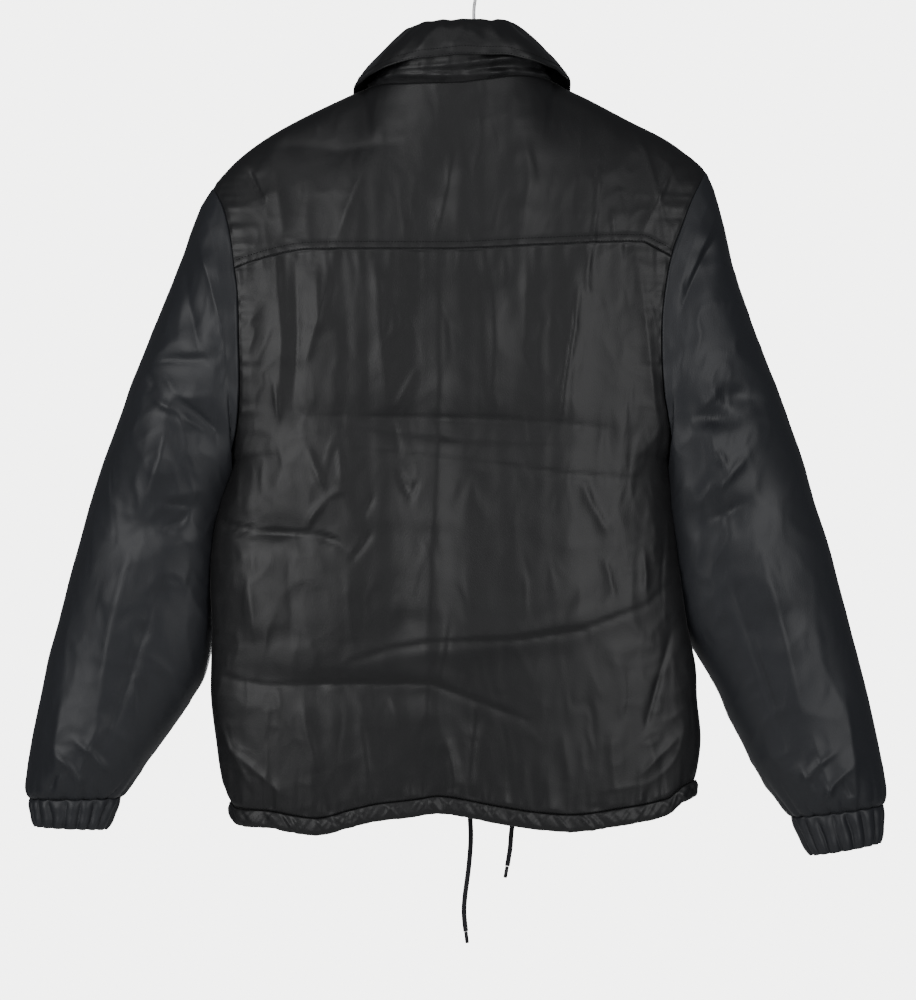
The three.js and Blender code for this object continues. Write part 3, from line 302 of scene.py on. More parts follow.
# Creases, given one by one: width, rise (below zero for a trough), how much steeper one side is, and the line
BACK_CREASES = [
    (24, 2.6, 0.5, [(18, 275), (19, 347), (20, 425), (22, 483), (25, 551), (32, 648), (32, 764)]),
    (13, 2.2, 0.0, [(176, 286), (171, 360), (175, 428)]),
    (9, -2.0, 0.0, [(158, 286), (156, 350), (160, 424)]),
    (8, 1.8, 0.0, [(138, 290), (136, 339), (148, 380)]),
    (14, 1.4, 0.3, [(82, 284), (76, 360), (70, 420)]),
    (12, 1.2, 0.0, [(-30, 284), (-34, 350), (-32, 410)]),
    (14, -1.4, 0.0, [(-64, 284), (-62, 380)]),
    (13, 2.0, 0.0, [(-172, 284), (-179, 347), (-189, 435)]),
    (2.6, 1.7, 0.0, [(-114, 306), (-110, 346), (-102, 396), (-98, 437)]),
    (2.4, 1.5, 0.0, [(-134, 173), (-133, 204), (-130, 243), (-127, 268), (-123, 290), (-122, 313)]),
    (3.2, -1.1, 0.0, [(151, 432), (62, 434), (-19, 435), (-90, 439), (-150, 445)]),
    (3.0, -0.9, 0.0, [(123, 436), (60, 446), (5, 453), (-60, 456), (-107, 455)]),
    (3.0, -1.1, 0.0, [(115, 463), (50, 470), (-19, 477), (-109, 489), (-186, 493)]),
    (3.6, -2.6, 0.3, [(240, 528), (221, 537), (189, 543), (136, 546), (118, 552), (101, 566)]),
    (3.0, -1.2, 0.0, [(232, 541), (196, 547), (147, 551)]),
    (3.0, -1.8, 0.0, [(85, 544), (94, 558), (105, 571)]),
    (3.4, 1.6, 0.0, [(146, 462), (136, 488), (128, 509)]),
    (3.2, 1.4, 0.0, [(128, 509), (111, 502)]),
    (3.2, 1.4, 0.0, [(116, 462), (113, 494)]),
    (3.6, 1.6, 0.0, [(128, 512), (139, 524), (148, 540)]),
    (3.0, -1.2, 0.0, [(83, 509), (91, 525)]),
    (3.0, -1.8, 0.0, [(60, 484), (46, 512)]),
    (2.8, -1.6, 0.0, [(41, 494), (46, 512)]),
    (3.0, -1.0, 0.0, [(63, 439), (57, 469)]),
    (3.2, 1.0, 0.0, [(41, 386), (60, 421)]),
    (4.5, 1.4, 0.0, [(178, 399), (174, 436)]),
    (6.0, 1.8, 0.2, [(-116, 494), (-128, 520), (-142, 544)]),
    (5.0, 1.8, 0.0, [(-139, 570), (-148, 604)]),
    (5.0, 1.8, 0.0, [(-177, 561), (-179, 604)]),
    (2.6, -0.9, 0.0, [(-154, 579), (-195, 576)]),
    (2.4, -0.8, 0.0, [(-166, 552), (-197, 555), (-194, 593), (-196, 615)]),
    (4.0, -2.0, 0.3, [(237, 680), (210, 687), (183, 691), (111, 688), (28, 687), (7, 696), (-63, 723)]),
    (4.0, -1.8, 0.3, [(104, 667), (66, 655), (28, 649), (-53, 646), (-116, 637), (-179, 614), (-205, 590)]),
    (3.4, -1.6, 0.2, [(-204, 640), (-189, 693), (-178, 733)]),
    (7.0, 1.8, 0.0, [(231, 728), (221, 753), (199, 792)]),
    (6.0, 1.6, 0.0, [(221, 752), (168, 797)]),
    (9.0, 1.8, 0.2, [(151, 702), (148, 728), (136, 775)]),
    (7.0, 1.8, 0.0, [(96, 725), (91, 753), (87, 790)]),
    (8.0, 2.4, 0.3, [(14, 740), (10, 756), (3, 788)]),
    (9.0, -2.2, 0.0, [(-16, 708), (-8, 787)]),
    (8.0, 1.8, 0.0, [(-98, 735), (-104, 782)]),
    (8.0, 1.6, 0.0, [(-145, 740), (-148, 795)]),
    (7.0, 2.0, 0.0, [(-172, 778), (-211, 740)]),
    (12, 2.2, 0.0, [(204, 585), (196, 650)]),
    (14, -1.6, 0.0, [(165, 560), (160, 660)]),
    (16, 1.6, 0.3, [(108, 580), (104, 650)]),
    (4.0, -2.4, 0.3, [(204, 194), (197, 209), (188, 227)]),
    (13, 2.0, 0.0, [(184, 172), (175, 215), (169, 258)]),
    (6.0, 1.3, 0.0, [(91, 188), (106, 228), (120, 265)]),
    (12, 2.2, 0.0, [(5, 178), (12, 215), (22, 258)]),
    (5.0, 1.6, 0.0, [(-176, 166), (-188, 208), (-198, 249)]),
    (5.0, 1.6, 0.0, [(-205, 188), (-192, 220), (-178, 252)]),
    (3.0, 1.2, 0.0, [(-146, 232), (-148, 262)]),
    (20, -2.4, 0.0, [(180, 166), (120, 176), (50, 168)]),
    (12, 1.4, 0.0, [(-62, 150), (-66, 205), (-60, 260)]),
]
SLEEVE_CREASES = {
    "left": [
        (4.5, -2.0, 0.0, [(307, 379), (272, 377), (239, 377)]),
        (4.5, -2.4, 0.0, [(273, 414), (252, 430), (234, 446)]),
        (3.5, -1.6, 0.0, [(267, 431), (246, 445)]),
        (5.0, 1.8, 0.0, [(297, 413), (271, 429)]),
        (3.5, -1.2, 0.0, [(312, 405), (295, 405)]),
        (4.5, -1.4, 0.0, [(306, 381), (293, 404)]),
        (4.5, -1.8, 0.0, [(286, 514), (259, 517)]),
        (5.0, -2.4, 0.0, [(286, 543), (270, 534), (259, 519)]),
        (9.0, 2.2, 0.0, [(283, 443), (288, 472), (302, 511)]),
        (11., 2.4, 0.0, [(255, 252), (241, 299), (228, 347)]),
        (10., -2.0, 0.0, [(268, 270), (262, 320), (250, 372)]),
        (12., 2.4, 0.0, [(318, 560), (338, 640), (350, 720)]),
        (9.0, -2.2, 0.0, [(290, 590), (318, 680), (345, 760)]),
        (8.0, 2.0, 0.0, [(385, 700), (392, 750), (390, 796)]),
        (7.0, 1.8, 0.0, [(350, 730), (364, 765), (372, 798)]),
        (4.5, 2.4, 0.2, [(372, 744), (356, 758), (342, 778)]),
        (4.0, 2.0, 0.2, [(392, 756), (376, 772), (366, 792)]),
        (3.6, -1.8, 0.0, [(386, 772), (398, 792)]),
    ],
    "right": [
        (4.5, -1.8, 0.0, [(-239, 404), (-278, 409)]),
        (4.0, -1.6, 0.0, [(-236, 415), (-265, 413), (-293, 415)]),
        (4.5, -1.8, 0.0, [(-273, 430), (-312, 418)]),
        (7.0, -2.6, 0.2, [(-222, 434), (-238, 432), (-254, 434), (-272, 436)]),
        (7.0, 1.8, 0.3, [(-230, 423), (-244, 412), (-256, 422)]),
        (4.0, -1.8, 0.0, [(-254, 434), (-229, 441)]),
        (5.0, 1.6, 0.0, [(-247, 466), (-256, 480)]),
        (6.0, -2.0, 0.0, [(-245, 531), (-278, 515)]),
        (5.0, 1.8, 0.0, [(-248, 502), (-262, 486), (-275, 471)]),
        (10., 2.6, 0.0, [(-252, 229), (-236, 262), (-218, 304)]),
        (7.0, -2.2, 0.0, [(-254, 245), (-230, 286), (-212, 330)]),
        (12., 2.2, 0.0, [(-290, 560), (-312, 640), (-330, 720)]),
        (9.0, -2.0, 0.0, [(-262, 590), (-292, 680), (-318, 760)]),
        (8.0, 2.0, 0.0, [(-372, 700), (-380, 750), (-384, 800)]),
        (7.0, 1.8, 0.0, [(-340, 740), (-352, 775), (-360, 808)]),
        (4.5, 2.4, 0.2, [(-363, 756), (-347, 768), (-330, 788)]),
        (4.0, 2.2, 0.2, [(-378, 772), (-362, 786), (-350, 806)]),
        (3.6, -1.8, 0.0, [(-372, 782), (-380, 800)]),
        (4.0, 2.0, 0.0, [(-330, 770), (-343, 800)]),
    ],
}
HIDDEN_SHIFT = 19  # creases on the hidden sides are like the shown ones, this much lower

# Fastenings and hanger
SNAP_DROPS = [205, 325, 445, 565, 685, 765]
SNAP_RADIUS = 7.5
SNAP_STAND = 0.5
SNAP_SIDES = 40
AGLET_SIDES = 28
EYELET_SIDES = 36
SHARP_ANGLE = 35
EYELET_X = {"left": -9, "right": -53.5}
EYELET_DOWN = 8.5
EYELET_OUT = 3.1
WALL = 3
BAR_RADIUS = 6
BAR_CLEARANCE = 0.95
BAR_HALF_LENGTH = 205
BAR_NECK = 95
BAR_ARCH = 10
BAR_SIDES = 28
BAR_END_SIZES = (0.55, 0.85)
HOOK_RADIUS = 1.6
HOOK_SIDES = 20
HOOK_RINGS = 120
HOOK_ROUTE = [
    (-13.6, 0, -95), (-13.6, 0, -70), (-13.6, 0, -50), (-13.6, 0, -36), (-15.2, 0, -25), (-17.6, 0, -14),
    (-14, 0, -4.6), (-7.4, 0, 0.3), (0, 0, 1.6), (8.6, 0, -0.6), (15.4, 0, -6.8), (18, 0, -15.4),
    (16.6, 0, -23),
]

# Mesh densities
TORSO_COLUMNS = 200
YOKE_ROWS = 64
PANEL_ROWS = 205
FRONT_COLUMNS = 76
FRONT_ROWS = 225
SLEEVE_TURNS = 150
SLEEVE_ROWS = 215
CUFF_TURNS = 252
CUFF_ROWS = 22
LEAF_ROWS = 34
STAND_ROWS = 30
CORD_SIDES = 24
CORD_RINGS = {"left": 260, "right": 130}
BAR_RINGS = 60

# Lights: place, what they point at and size in metres, and power in watts
LIGHTS = {
    "key": ((1.6, 2.2, -0.1), (0.1, 0, -0.5), (1.0, 1.4), 27),
    "fill": ((-1.3, 2.3, -0.3), (-0.1, 0, -0.5), (0.9, 1.4), 20),
    "above": ((0.3, 1.7, 1.6), (0, 0, -0.45), (1.4, 0.4), 5),
    "front": ((0, -2.2, -0.5), (0, 0, -0.5), (1.2, 1.2), 30),
}
SURROUND_SEEN = 6
SURROUND_LIGHT = 0.14
FLOOR_HALF = 1000
FLOOR_DROP = 1250

# Colours
BODY_COLOUR = (0.009, 0.009, 0.0097)
# The sleeves are the same nylon as the body; their lighter, bluer colour is painted light for the brighter
# light they catch
SLEEVE_PAINTED_LIGHT_COLOUR = (0.018, 0.0195, 0.0235)
CORD_COLOUR = (0.012, 0.012, 0.016)
TRIM_COLOUR = (0.03, 0.03, 0.032)
THREAD_COLOUR = (0.008, 0.008, 0.009)
BAR_COLOUR = (0.03, 0.03, 0.03)
WIRE_COLOUR = (0.55, 0.55, 0.56)
FLOOR_COLOUR = (0.8, 0.8, 0.79)
SEEN_COLOUR = (0.87, 0.87, 0.86, 1)
LIGHT_COLOUR = (0.9, 0.93, 1.0, 1)


def mix(a, b, share):
    return a + (b - a) * share


def smooth(x, low, high):
    t = np.clip((np.asarray(x, float) - low) / (high - low), 0, 1)
    return t * t * (3 - 2 * t)


def curve(rows, column=1):
    """A smooth curve from the first column of a table to another one."""
    at = np.array([row[0] for row in rows], float)
    value = np.array([row[column] for row in rows], float)
    low = np.maximum(np.arange(len(at)) - 1, 0)
    high = np.minimum(np.arange(len(at)) + 1, len(at) - 1)
    slope = (value[high] - value[low]) / (at[high] - at[low])

    def evaluate(where):
        x = np.clip(where, at[0], at[-1])
        i = np.clip(np.searchsorted(at, x, side="right") - 1, 0, len(at) - 2)
        span = at[i + 1] - at[i]
        t = (x - at[i]) / span
        start = (1 + 2 * t) * (1 - t) ** 2 * value[i] + t * (1 - t) ** 2 * span * slope[i]
        end = t * t * (3 - 2 * t) * value[i + 1] + t * t * (t - 1) * span * slope[i + 1]
        return start + end

    return evaluate


back_top = curve(BACK_TOP)
front_neck = curve(FRONT_NECK)
yoke_seam = curve(YOKE_SEAM)
hem_seam = curve(HEM_SEAM)
back_depth = curve(BACK_DEPTH)
front_depth = curve(FRONT_DEPTH)
armhole_out = {side: curve(rows) for side, rows in ARMHOLE_OUT.items()}
side_out = {side: curve(rows) for side, rows in SIDE_OUT.items()}


def noise(u, v, seed):
    """Smooth uneven waves from about -1 to 1, one wave for each whole step of u and v."""
    u, v = np.broadcast_arrays(np.asarray(u, float), np.asarray(v, float))
    cell_u, cell_v = np.floor(u), np.floor(v)
    part_u, part_v = u - cell_u, v - cell_v
    ease_u = part_u * part_u * (3 - 2 * part_u)
    ease_v = part_v * part_v * (3 - 2 * part_v)

    def corner(step_u, step_v):
        mixed = np.sin((cell_u + step_u) * 127.1 + (cell_v + step_v) * 311.7 + seed * 74.7) * 43758.5453
        return 2 * (mixed - np.floor(mixed)) - 1

    upper = mix(corner(0, 0), corner(1, 0), ease_u)
    lower = mix(corner(0, 1), corner(1, 1), ease_u)
    return mix(upper, lower, ease_v)


def crumple(u, v, seed):
    """A net of narrow ridges from 0 to 1, as crisp nylon has."""
    shift_u = 0.6 * noise(u * 0.6, v * 0.6, seed + 3)
    shift_v = 0.6 * noise(v * 0.6, u * 0.6, seed + 7)
    return (1 - np.abs(noise(u + shift_u, v + shift_v, seed))) ** 3


def waves(table, u, v, seed, shape=noise):
    """The sum of a table's waves; each row has a seed of its own, from the given one up."""
    total = 0
    for number, (height, across, down) in enumerate(table):
        total = total + height * shape(u / across, v / down, seed + number)
    return total


def fold_relief(folds, x, drop):
    """How much the largest folds lift the cloth, as on the solids."""
    lift = np.zeros(np.shape(x))
    for width, rise, start, end in folds:
        dx, dd = end[0] - start[0], end[1] - start[1]
        t = ((x - start[0]) * dx + (drop - start[1]) * dd) / (dx * dx + dd * dd)
        along = np.clip(t, 0, 1)
        away = np.hypot(x - start[0] - along * dx, drop - start[1] - along * dd)
        fade = mix(FOLD_END_SHARE, 1, np.sin(along * np.pi))
        lift = lift + rise * fade * np.exp(-((away / width) ** 2))
    return lift


def crease_relief(creases, x, drop):
    """The height that a table of soft creases gives at each place."""
    height = np.zeros(np.shape(x))
    for seed, (width, rise, steep, line) in enumerate(creases):
        height = height + one_crease(x, drop, line, width, rise, steep, seed)
    return height


def one_crease(x, drop, line, width, rise, steep, seed):
    """One crease: uneven along its line, and with low shoulders beside it."""
    nearest = np.full(np.shape(x), 1e6)
    place = np.zeros(np.shape(x))
    hand = np.zeros(np.shape(x))
    travelled = 0.0
    for (ax, ad), (bx, bd) in zip(line[:-1], line[1:]):
        length = np.hypot(bx - ax, bd - ad)
        ux, ud = (bx - ax) / length, (bd - ad) / length
        t = np.clip((x - ax) * ux + (drop - ad) * ud, 0, length)
        away = np.hypot(x - ax - t * ux, drop - ad - t * ud)
        nearer = away < nearest
        nearest = np.where(nearer, away, nearest)
        place = np.where(nearer, travelled + t, place)
        hand = np.where(nearer, np.tanh(((x - ax) * ud - (drop - ad) * ux) / width), hand)
        travelled += length
    uneven = 1 + CREASE_UNEVEN * noise(place / CREASE_BEAT, seed * 1.7, seed)
    reach = width * (1 + steep * hand) * uneven
    sharp = np.exp(-((nearest / reach) ** CREASE_SHARPNESS))
    shoulders = CREASE_SHOULDER * np.exp(-((nearest / reach / 2) ** 2))
    fade = np.sqrt(np.sin(np.pi * np.clip(place / travelled, 0.02, 0.98)))
    return CREASE_GAIN * rise * fade * uneven * (sharp - shoulders)


# Torso


def edge_point(side, face, down):
    """The torso's edge: down the armhole for down 0 to 1, then down the side seam to 2."""
    hole = np.minimum(down, 1)
    share = (1 - np.cos(hole * np.pi)) / 2
    hole_drop = mix(TIP_DROP[side], UNDERARM_DROP, share)
    seam_drop = mix(UNDERARM_DROP, HEM_END_DROP[side], np.maximum(down - 1, 0))
    in_hole = down <= 1
    x = SIGN[side] * np.where(in_hole, armhole_out[side](share), side_out[side](seam_drop))
    y = np.where(in_hole, face * ARMHOLE_DEPTH * np.sin(hole * np.pi), 0)
    return x, y, -np.where(in_hole, hole_drop, seam_drop)


def edge_share(side, start, end, down):
    first = edge_point(side, 1, np.float64(start))[2]
    last = edge_point(side, 1, np.float64(end))[2]
    return (edge_point(side, 1, down)[2] - first) / (last - first)


def top_drop(face, top_x):
    if face > 0:
        return back_top(top_x)
    return np.where(np.abs(top_x) < NECK_HALF_WIDTH - 1, front_neck(top_x), back_top(top_x))


def torso(face, across, down):
    """Points of the torso: face 1 is the back and -1 the front."""
    across, down = np.broadcast_arrays(np.asarray(across, float), np.asarray(down, float))
    left = edge_point("left", face, down)
    right = edge_point("right", face, down)
    share = (1 + across) / 2
    x = mix(right[0], left[0], share)
    top_x = mix(TIP_X["right"], TIP_X["left"], share)
    top = top_drop(face, top_x)
    hem = hem_seam(mix(HEM_END_X["right"], HEM_END_X["left"], share))
    yoke = yoke_seam(mix(YOKE_END_X["right"], YOKE_END_X["left"], share))

    def between(start, end):
        return mix(edge_share("right", start, end, down), edge_share("left", start, end, down), share)

    if face < 0:
        drop = mix(top, hem, between(0, 2))
    else:
        upper = mix(top, yoke, between(0, YOKE_ROW))
        lower = mix(yoke, hem, between(YOKE_ROW, 2))
        drop = np.where(down < YOKE_ROW, upper, lower)
    loop = np.abs(mix(right[1], left[1], share))
    tip_z = -mix(TIP_DROP["right"], TIP_DROP["left"], share)
    arm_share = (tip_z - mix(right[2], left[2], share)) / (tip_z + UNDERARM_DROP)
    depth = torso_depth(face, across, drop, top, top_x, loop, arm_share)
    folds = BACK_FOLDS if face > 0 else FRONT_FOLDS
    calm = (1 - across ** 6) * smooth(down, 0.05, 0.3) * (1 - smooth(down, 1.85, 2))
    depth = depth + calm * fold_relief(folds, x, drop)
    return np.stack([x, face * depth, -drop], axis=-1)


def torso_depth(face, across, drop, top, top_x, loop, arm_share):
    """Half the torso's depth: it rounds out from the shoulder ridge and closes in at the sides."""
    neck_depth = BACK_NECK_DEPTH if face > 0 else FRONT_NECK_DEPTH
    below = np.minimum((drop - top) / SHOULDER_ROUNDING, 1)
    neck_edge = np.sqrt(np.maximum(1 - (top_x / NECK_HALF_WIDTH) ** 2, 0))
    neck_spread = 1 - smooth(np.abs(top_x), *COLLAR_SPREAD)
    neck_share = mix(neck_edge, neck_spread, smooth(below, 0, 0.3))
    rounded = np.maximum(1 - (1 - below) ** 2, 0) ** (0.5 + 0.5 * neck_share)
    full = back_depth(drop) if face > 0 else front_depth(drop)
    middle = mix(neck_depth * neck_share, full, rounded)
    lower_edge = ARMHOLE_DEPTH * (1 - smooth(arm_share, 0.5, 1.7))
    inward = np.where(arm_share < 0.5, loop, lower_edge)
    edge = mix(inward, loop, np.abs(across) ** 8)
    crown = 1 - np.abs(across) ** SIDE_POWER
    sharpness = mix(1, 0.5, smooth(arm_share, 0.6, 1.6))
    return edge + (middle - edge) * crown ** sharpness


def spread_columns(count):
    """Columns across the torso, closer together towards the sides."""
    even = np.linspace(-1, 1, count)
    return 0.45 * even + 0.55 * np.sin(even * np.pi / 2)


def rows_between(start, end, count):
    """Rows of the torso with even drops, a little closer together at both ends."""
    even = np.linspace(0, 1, count)
    even = even - 0.3 * np.sin(2 * np.pi * even) / (2 * np.pi)
    armhole_length = UNDERARM_DROP - MEAN_TIP_DROP
    seam_length = MEAN_HEM_DROP - UNDERARM_DROP

    def travelled(down):
        hole = (1 - np.cos(min(down, 1) * np.pi)) / 2 * armhole_length
        return hole + max(down - 1, 0) * seam_length

    lengths = mix(travelled(start), travelled(end), even)
    hole_share = np.clip(lengths / armhole_length, 0, 1)
    hole_down = np.arccos(1 - 2 * hole_share) / np.pi
    return hole_down + np.maximum(lengths - armhole_length, 0) / seam_length


def torso_relief(face, across, points):
    """Creases, drapes, puckers and seam grooves, as a height above the plain form."""
    x, drop = points[..., 0], -points[..., 2]
    from_side = (1 - np.abs(across)) * TORSO_HALF_WIDTH
    from_hem = hem_seam(x) - drop
    share = (1 + across) / 2
    from_top = drop - top_drop(face, mix(TIP_X["right"], TIP_X["left"], share))
    height = crease_relief(BACK_CREASES if face > 0 else hidden_creases(), x, drop)
    drape = 1 - DRAPE_FADE * smooth(drop, *DRAPE_FADE_DROPS)
    height = height + drape * waves(DRAPES, x, drop, DRAPE_SEED)
    height = height + waves(SWELLS, x, drop, SWELL_SEED)
    crisp = mix(MIDDLE_CRISPNESS, 1, smooth(np.abs(x), *CRISP_FROM_MIDDLE))
    height = height + crisp * waves(CRUMPLES, x, drop, CRUMPLE_SEED, crumple)
    height = height * smooth(from_side, 0, 14) * smooth(from_hem, 0, 12) * smooth(from_top, 4, 22)
    height = height + side_puckers(x, drop, from_side) + hem_puckers(x, from_hem)
    height = height - groove(from_side) - groove(from_hem)
    if face > 0:
        height = height + yoke_relief(x, drop)
    return height


def groove(distance):
    """The small valley in which a seam lies."""
    return SEAM_GROOVE_DEPTH * np.exp(-((distance / SEAM_GROOVE_WIDTH) ** 2))


def side_puckers(x, drop, from_side):
    side = np.sign(x)
    wave = noise(drop / 7, side * 3 + from_side / 60, SIDE_SEED)
    wave = wave + 0.5 * noise(drop / 3.6, side, SIDE_SEED + 1)
    return SIDE_PUCKER * wave * np.exp(-from_side / SIDE_PUCKER_REACH) * smooth(from_side, 0, 4)


def hem_puckers(x, from_hem):
    near = np.exp(-np.abs(from_hem) / HEM_PUCKER_REACH) * smooth(from_hem, 0, 5)
    return near * waves(HEM_PUCKERS, x, from_hem, HEM_SEED)


def yoke_relief(x, drop):
    """The yoke's edge: a raised double layer above the seam, and puckers on both sides of it."""
    below = drop - yoke_seam(x)
    layer = YOKE_LAYER * (1 - smooth(below, -0.6, 1.2)) * smooth(below, -10, -7)
    under = np.exp(-np.maximum(below, 0) / YOKE_LOW_REACH) * smooth(below, 0, 4)
    over = np.exp(-np.maximum(-below, 0) / YOKE_HIGH_REACH) * (1 - smooth(below, -2, 0))
    low = under * waves(YOKE_LOW_PUCKERS, x, below, YOKE_SEED)
    high = over * waves(YOKE_HIGH_PUCKERS, x, below, YOKE_SEED + len(YOKE_LOW_PUCKERS))
    dip = YOKE_STITCH_DIP * np.exp(-(((below + YOKE_STITCH_UP) / YOKE_STITCH_REACH) ** 2))
    return layer + low + high - dip


def hidden_creases():
    """Creases for the fronts: those of the back, seen from the other side and a little lower."""
    return [
        (width, rise, -steep, [(-0.95 * x, drop + HIDDEN_SHIFT) for x, drop in line])
        for width, rise, steep, line in BACK_CREASES
    ]


def grid_normals(points, closed=False):
    """Unit normals of a grid of points; the grid runs right round where closed."""
    if closed:
        wrapped = np.concatenate([points[:, -1:], points, points[:, :1]], axis=1)
        across = np.gradient(wrapped, axis=1)[:, 1:-1]
    else:
        across = np.gradient(points, axis=1)
    down = np.gradient(points, axis=0)
    normals = np.cross(across, down)
    length = np.linalg.norm(normals, axis=-1, keepdims=True)
    return normals / np.maximum(length, 1e-9)


def outwards(normals, points, middle):
    """Turns all normals of a grid so that they point away from a middle point."""
    facing = np.sum(normals * (points - middle), axis=-1)
    return normals if facing.mean() > 0 else -normals


def add_mesh(name, points, faces, material):
    mesh = bpy.data.meshes.new(name)
    mesh.from_pydata((np.asarray(points) * MM).tolist(), [], faces)
    mesh.polygons.foreach_set("use_smooth", [True] * len(mesh.polygons))
    mesh.materials.append(material)
    obj = bpy.data.objects.new(name, mesh)
    bpy.context.collection.objects.link(obj)
    return obj


def facing_out(points, faces):
    """Turns all faces over if they enclose a volume below zero."""
    a, b, c = points[faces[:, 0]], points[faces[:, 1]], points[faces[:, 2]]
    volume = np.sum(a * np.cross(b, c)) + np.sum(a * np.cross(c, points[faces[:, 3]]))
    return faces if volume > 0 else faces[:, ::-1]


def numbered(rows, columns, closed=False):
    """The point numbers of a grid; a closed one comes back to its first column."""
    index = np.arange(rows * columns).reshape(rows, columns)
    return np.concatenate([index, index[:, :1]], axis=1) if closed else index


def quads(index):
    """The faces between the rows and columns of a grid of point numbers."""
    corners = [index[:-1, :-1], index[:-1, 1:], index[1:, 1:], index[1:, :-1]]
    return np.stack(corners, axis=-1).reshape(-1, 4)


def add_wall(name, outer, inner, material, closed=False):
    """A thin shell from an outer and an inner grid of points."""
    rows, columns = outer.shape[:2]
    index = numbered(rows, columns, closed)
    half = rows * columns
    faces = [
        quads(index),
        quads(index)[:, [0, 3, 2, 1]] + half,
        rim(index[0][::-1], half),
        rim(index[-1], half),
    ]
    if not closed:
        faces.append(rim(index[:, 0], half))
        faces.append(rim(index[::-1, -1], half))
    points = np.concatenate([outer.reshape(-1, 3), inner.reshape(-1, 3)])
    faces = facing_out(points, np.concatenate(faces))
    return add_mesh(name, points, faces.tolist(), material)


def rim(line, half):
    return np.stack([line[:-1], line[1:], line[1:] + half, line[:-1] + half], axis=-1)


def shell_from(name, outer, middle, material, closed=False):
    """A thin shell whose wall lies towards a middle point; returns the object and its normals."""
    normals = outwards(grid_normals(outer, closed), outer, middle)
    obj = add_wall(name, outer, outer - SHELL_THICKNESS * normals, material, closed)
    return obj, normals


TORSO_MIDDLE = np.array([0, 0, -480])


def torso_grid(face, across, down):
    plain = torso(face, across, down)
    normals = outwards(grid_normals(plain), plain, TORSO_MIDDLE)
    height = torso_relief(face, across, plain)
    return plain + normals * height[..., None]


def line_from_edge(grid, distance):
    """The line on a grid that runs this far from its first row."""
    steps = np.linalg.norm(np.diff(grid, axis=0), axis=-1)
    travelled = np.concatenate([np.zeros((1, grid.shape[1])), np.cumsum(steps, axis=0)])
    points = []
    for column in range(grid.shape[1]):
        points.append([
            np.interp(distance, travelled[:, column], grid[:, column, axis]) for axis in range(3)
        ])
    return np.array(points)


def add_stitches(name, rows, material):
    """Rows of sewn stitches; each row is a line of points and the way out of the cloth there."""
    points = []
    faces = []
    sections = [(-0.5, 0.25), (-0.25, 1), (0.25, 1), (0.5, 0.25)]
    for line, out in rows:
        steps = np.linalg.norm(np.diff(line, axis=0), axis=-1)
        travelled = np.concatenate([[0], np.cumsum(steps)])
        middles = np.arange(STITCH_PITCH, travelled[-1] - STITCH_PITCH / 2, STITCH_PITCH)

        def along(values, where):
            return np.stack([np.interp(where, travelled, values[:, axis]) for axis in range(3)], axis=-1)

        start = along(line, middles - STITCH_LENGTH / 2)
        end = along(line, middles + STITCH_LENGTH / 2)
        away = along(out, middles)
        way = end - start
        sideways = np.cross(way, away)
        sideways = sideways / np.linalg.norm(sideways, axis=-1, keepdims=True)
        first = len(points) * 16
        block = []
        for share, size in sections:
            centre = mix(start, end, share + 0.5) + away * (0.1 + STITCH_ARCH * (size == 1))
            for turn in range(4):
                angle = (turn + 0.5) * np.pi / 2
                spoke = sideways * np.cos(angle) + away * np.sin(angle)
                block.append(centre + spoke * STITCH_RADIUS * size)
        points.extend(np.stack(block, axis=1))
        for stitch in range(len(middles)):
            base = first + stitch * 16
            faces.extend(stitch_faces(base))
    return add_mesh(name, np.concatenate(points), faces, material)


def stitch_faces(base):
    faces = [[base + 3, base + 2, base + 1, base], [base + 12, base + 13, base + 14, base + 15]]
    for section in range(3):
        for turn in range(4):
            a = base + section * 4 + turn
            b = base + section * 4 + (turn + 1) % 4
            faces.append([a, b, b + 4, a + 4])
    return faces


def opening_x(down):
    return mix(OPENING_TOP_X, OPENING_HEM_X, down / 2)


def lap_share(side, x, down):
    """How fully the left front is lifted over the right one."""
    if side == "right":
        return np.zeros(np.shape(x))
    return 1 - smooth(x - opening_x(down), LAP_FLAT, LAP_END)


def across_of_x(x):
    return (x - (TIP_X["left"] + TIP_X["right"]) / 2) / ((TIP_X["left"] - TIP_X["right"]) / 2)


def front_grid(side):
    """One front, from its edge at the opening to the side; its hem line comes before the lap's lift."""
    sign = SIGN[side]
    first = across_of_x(OPENING_TOP_X - sign * LAP)
    even = np.linspace(0, 1, FRONT_COLUMNS)
    column = mix(first, sign, 0.55 * even + 0.45 * np.sin(even * np.pi / 2))[None, :]
    down = rows_between(0, 2, FRONT_ROWS)[:, None]
    shift = (opening_x(down) - OPENING_TOP_X) / TIP_X["left"]
    across = column + shift * (1 - smooth(np.abs(column), 0.3, 0.8))
    plain = torso(-1, across, down)
    normals = outwards(grid_normals(plain), plain, TORSO_MIDDLE)
    height = torso_relief(-1, across, plain)
    from_edge = np.abs(plain[..., 0] - opening_x(down))
    height = height * smooth(from_edge, 8, 55)
    points = plain + normals * height[..., None]
    points[..., 1] -= lap_share(side, plain[..., 0], down) * LAP_RISE
    return points, (plain[-1], normals[-1])


# Sleeves and cuffs


def ring_value(side, column, k):
    table = SLEEVE[side]
    return curve([(i + 1, row[column]) for i, row in enumerate(table)])(k)


def ring_point(side, angle, ring):
    """A point of the ring whose six values are given."""
    in_x, in_drop, out_x, out_drop, half, lean = ring
    share = (1 - np.cos(angle)) / 2
    x = SIGN[side] * mix(out_x, in_x, share)
    return x, half * np.sin(angle) - lean, -mix(out_drop, in_drop, share)


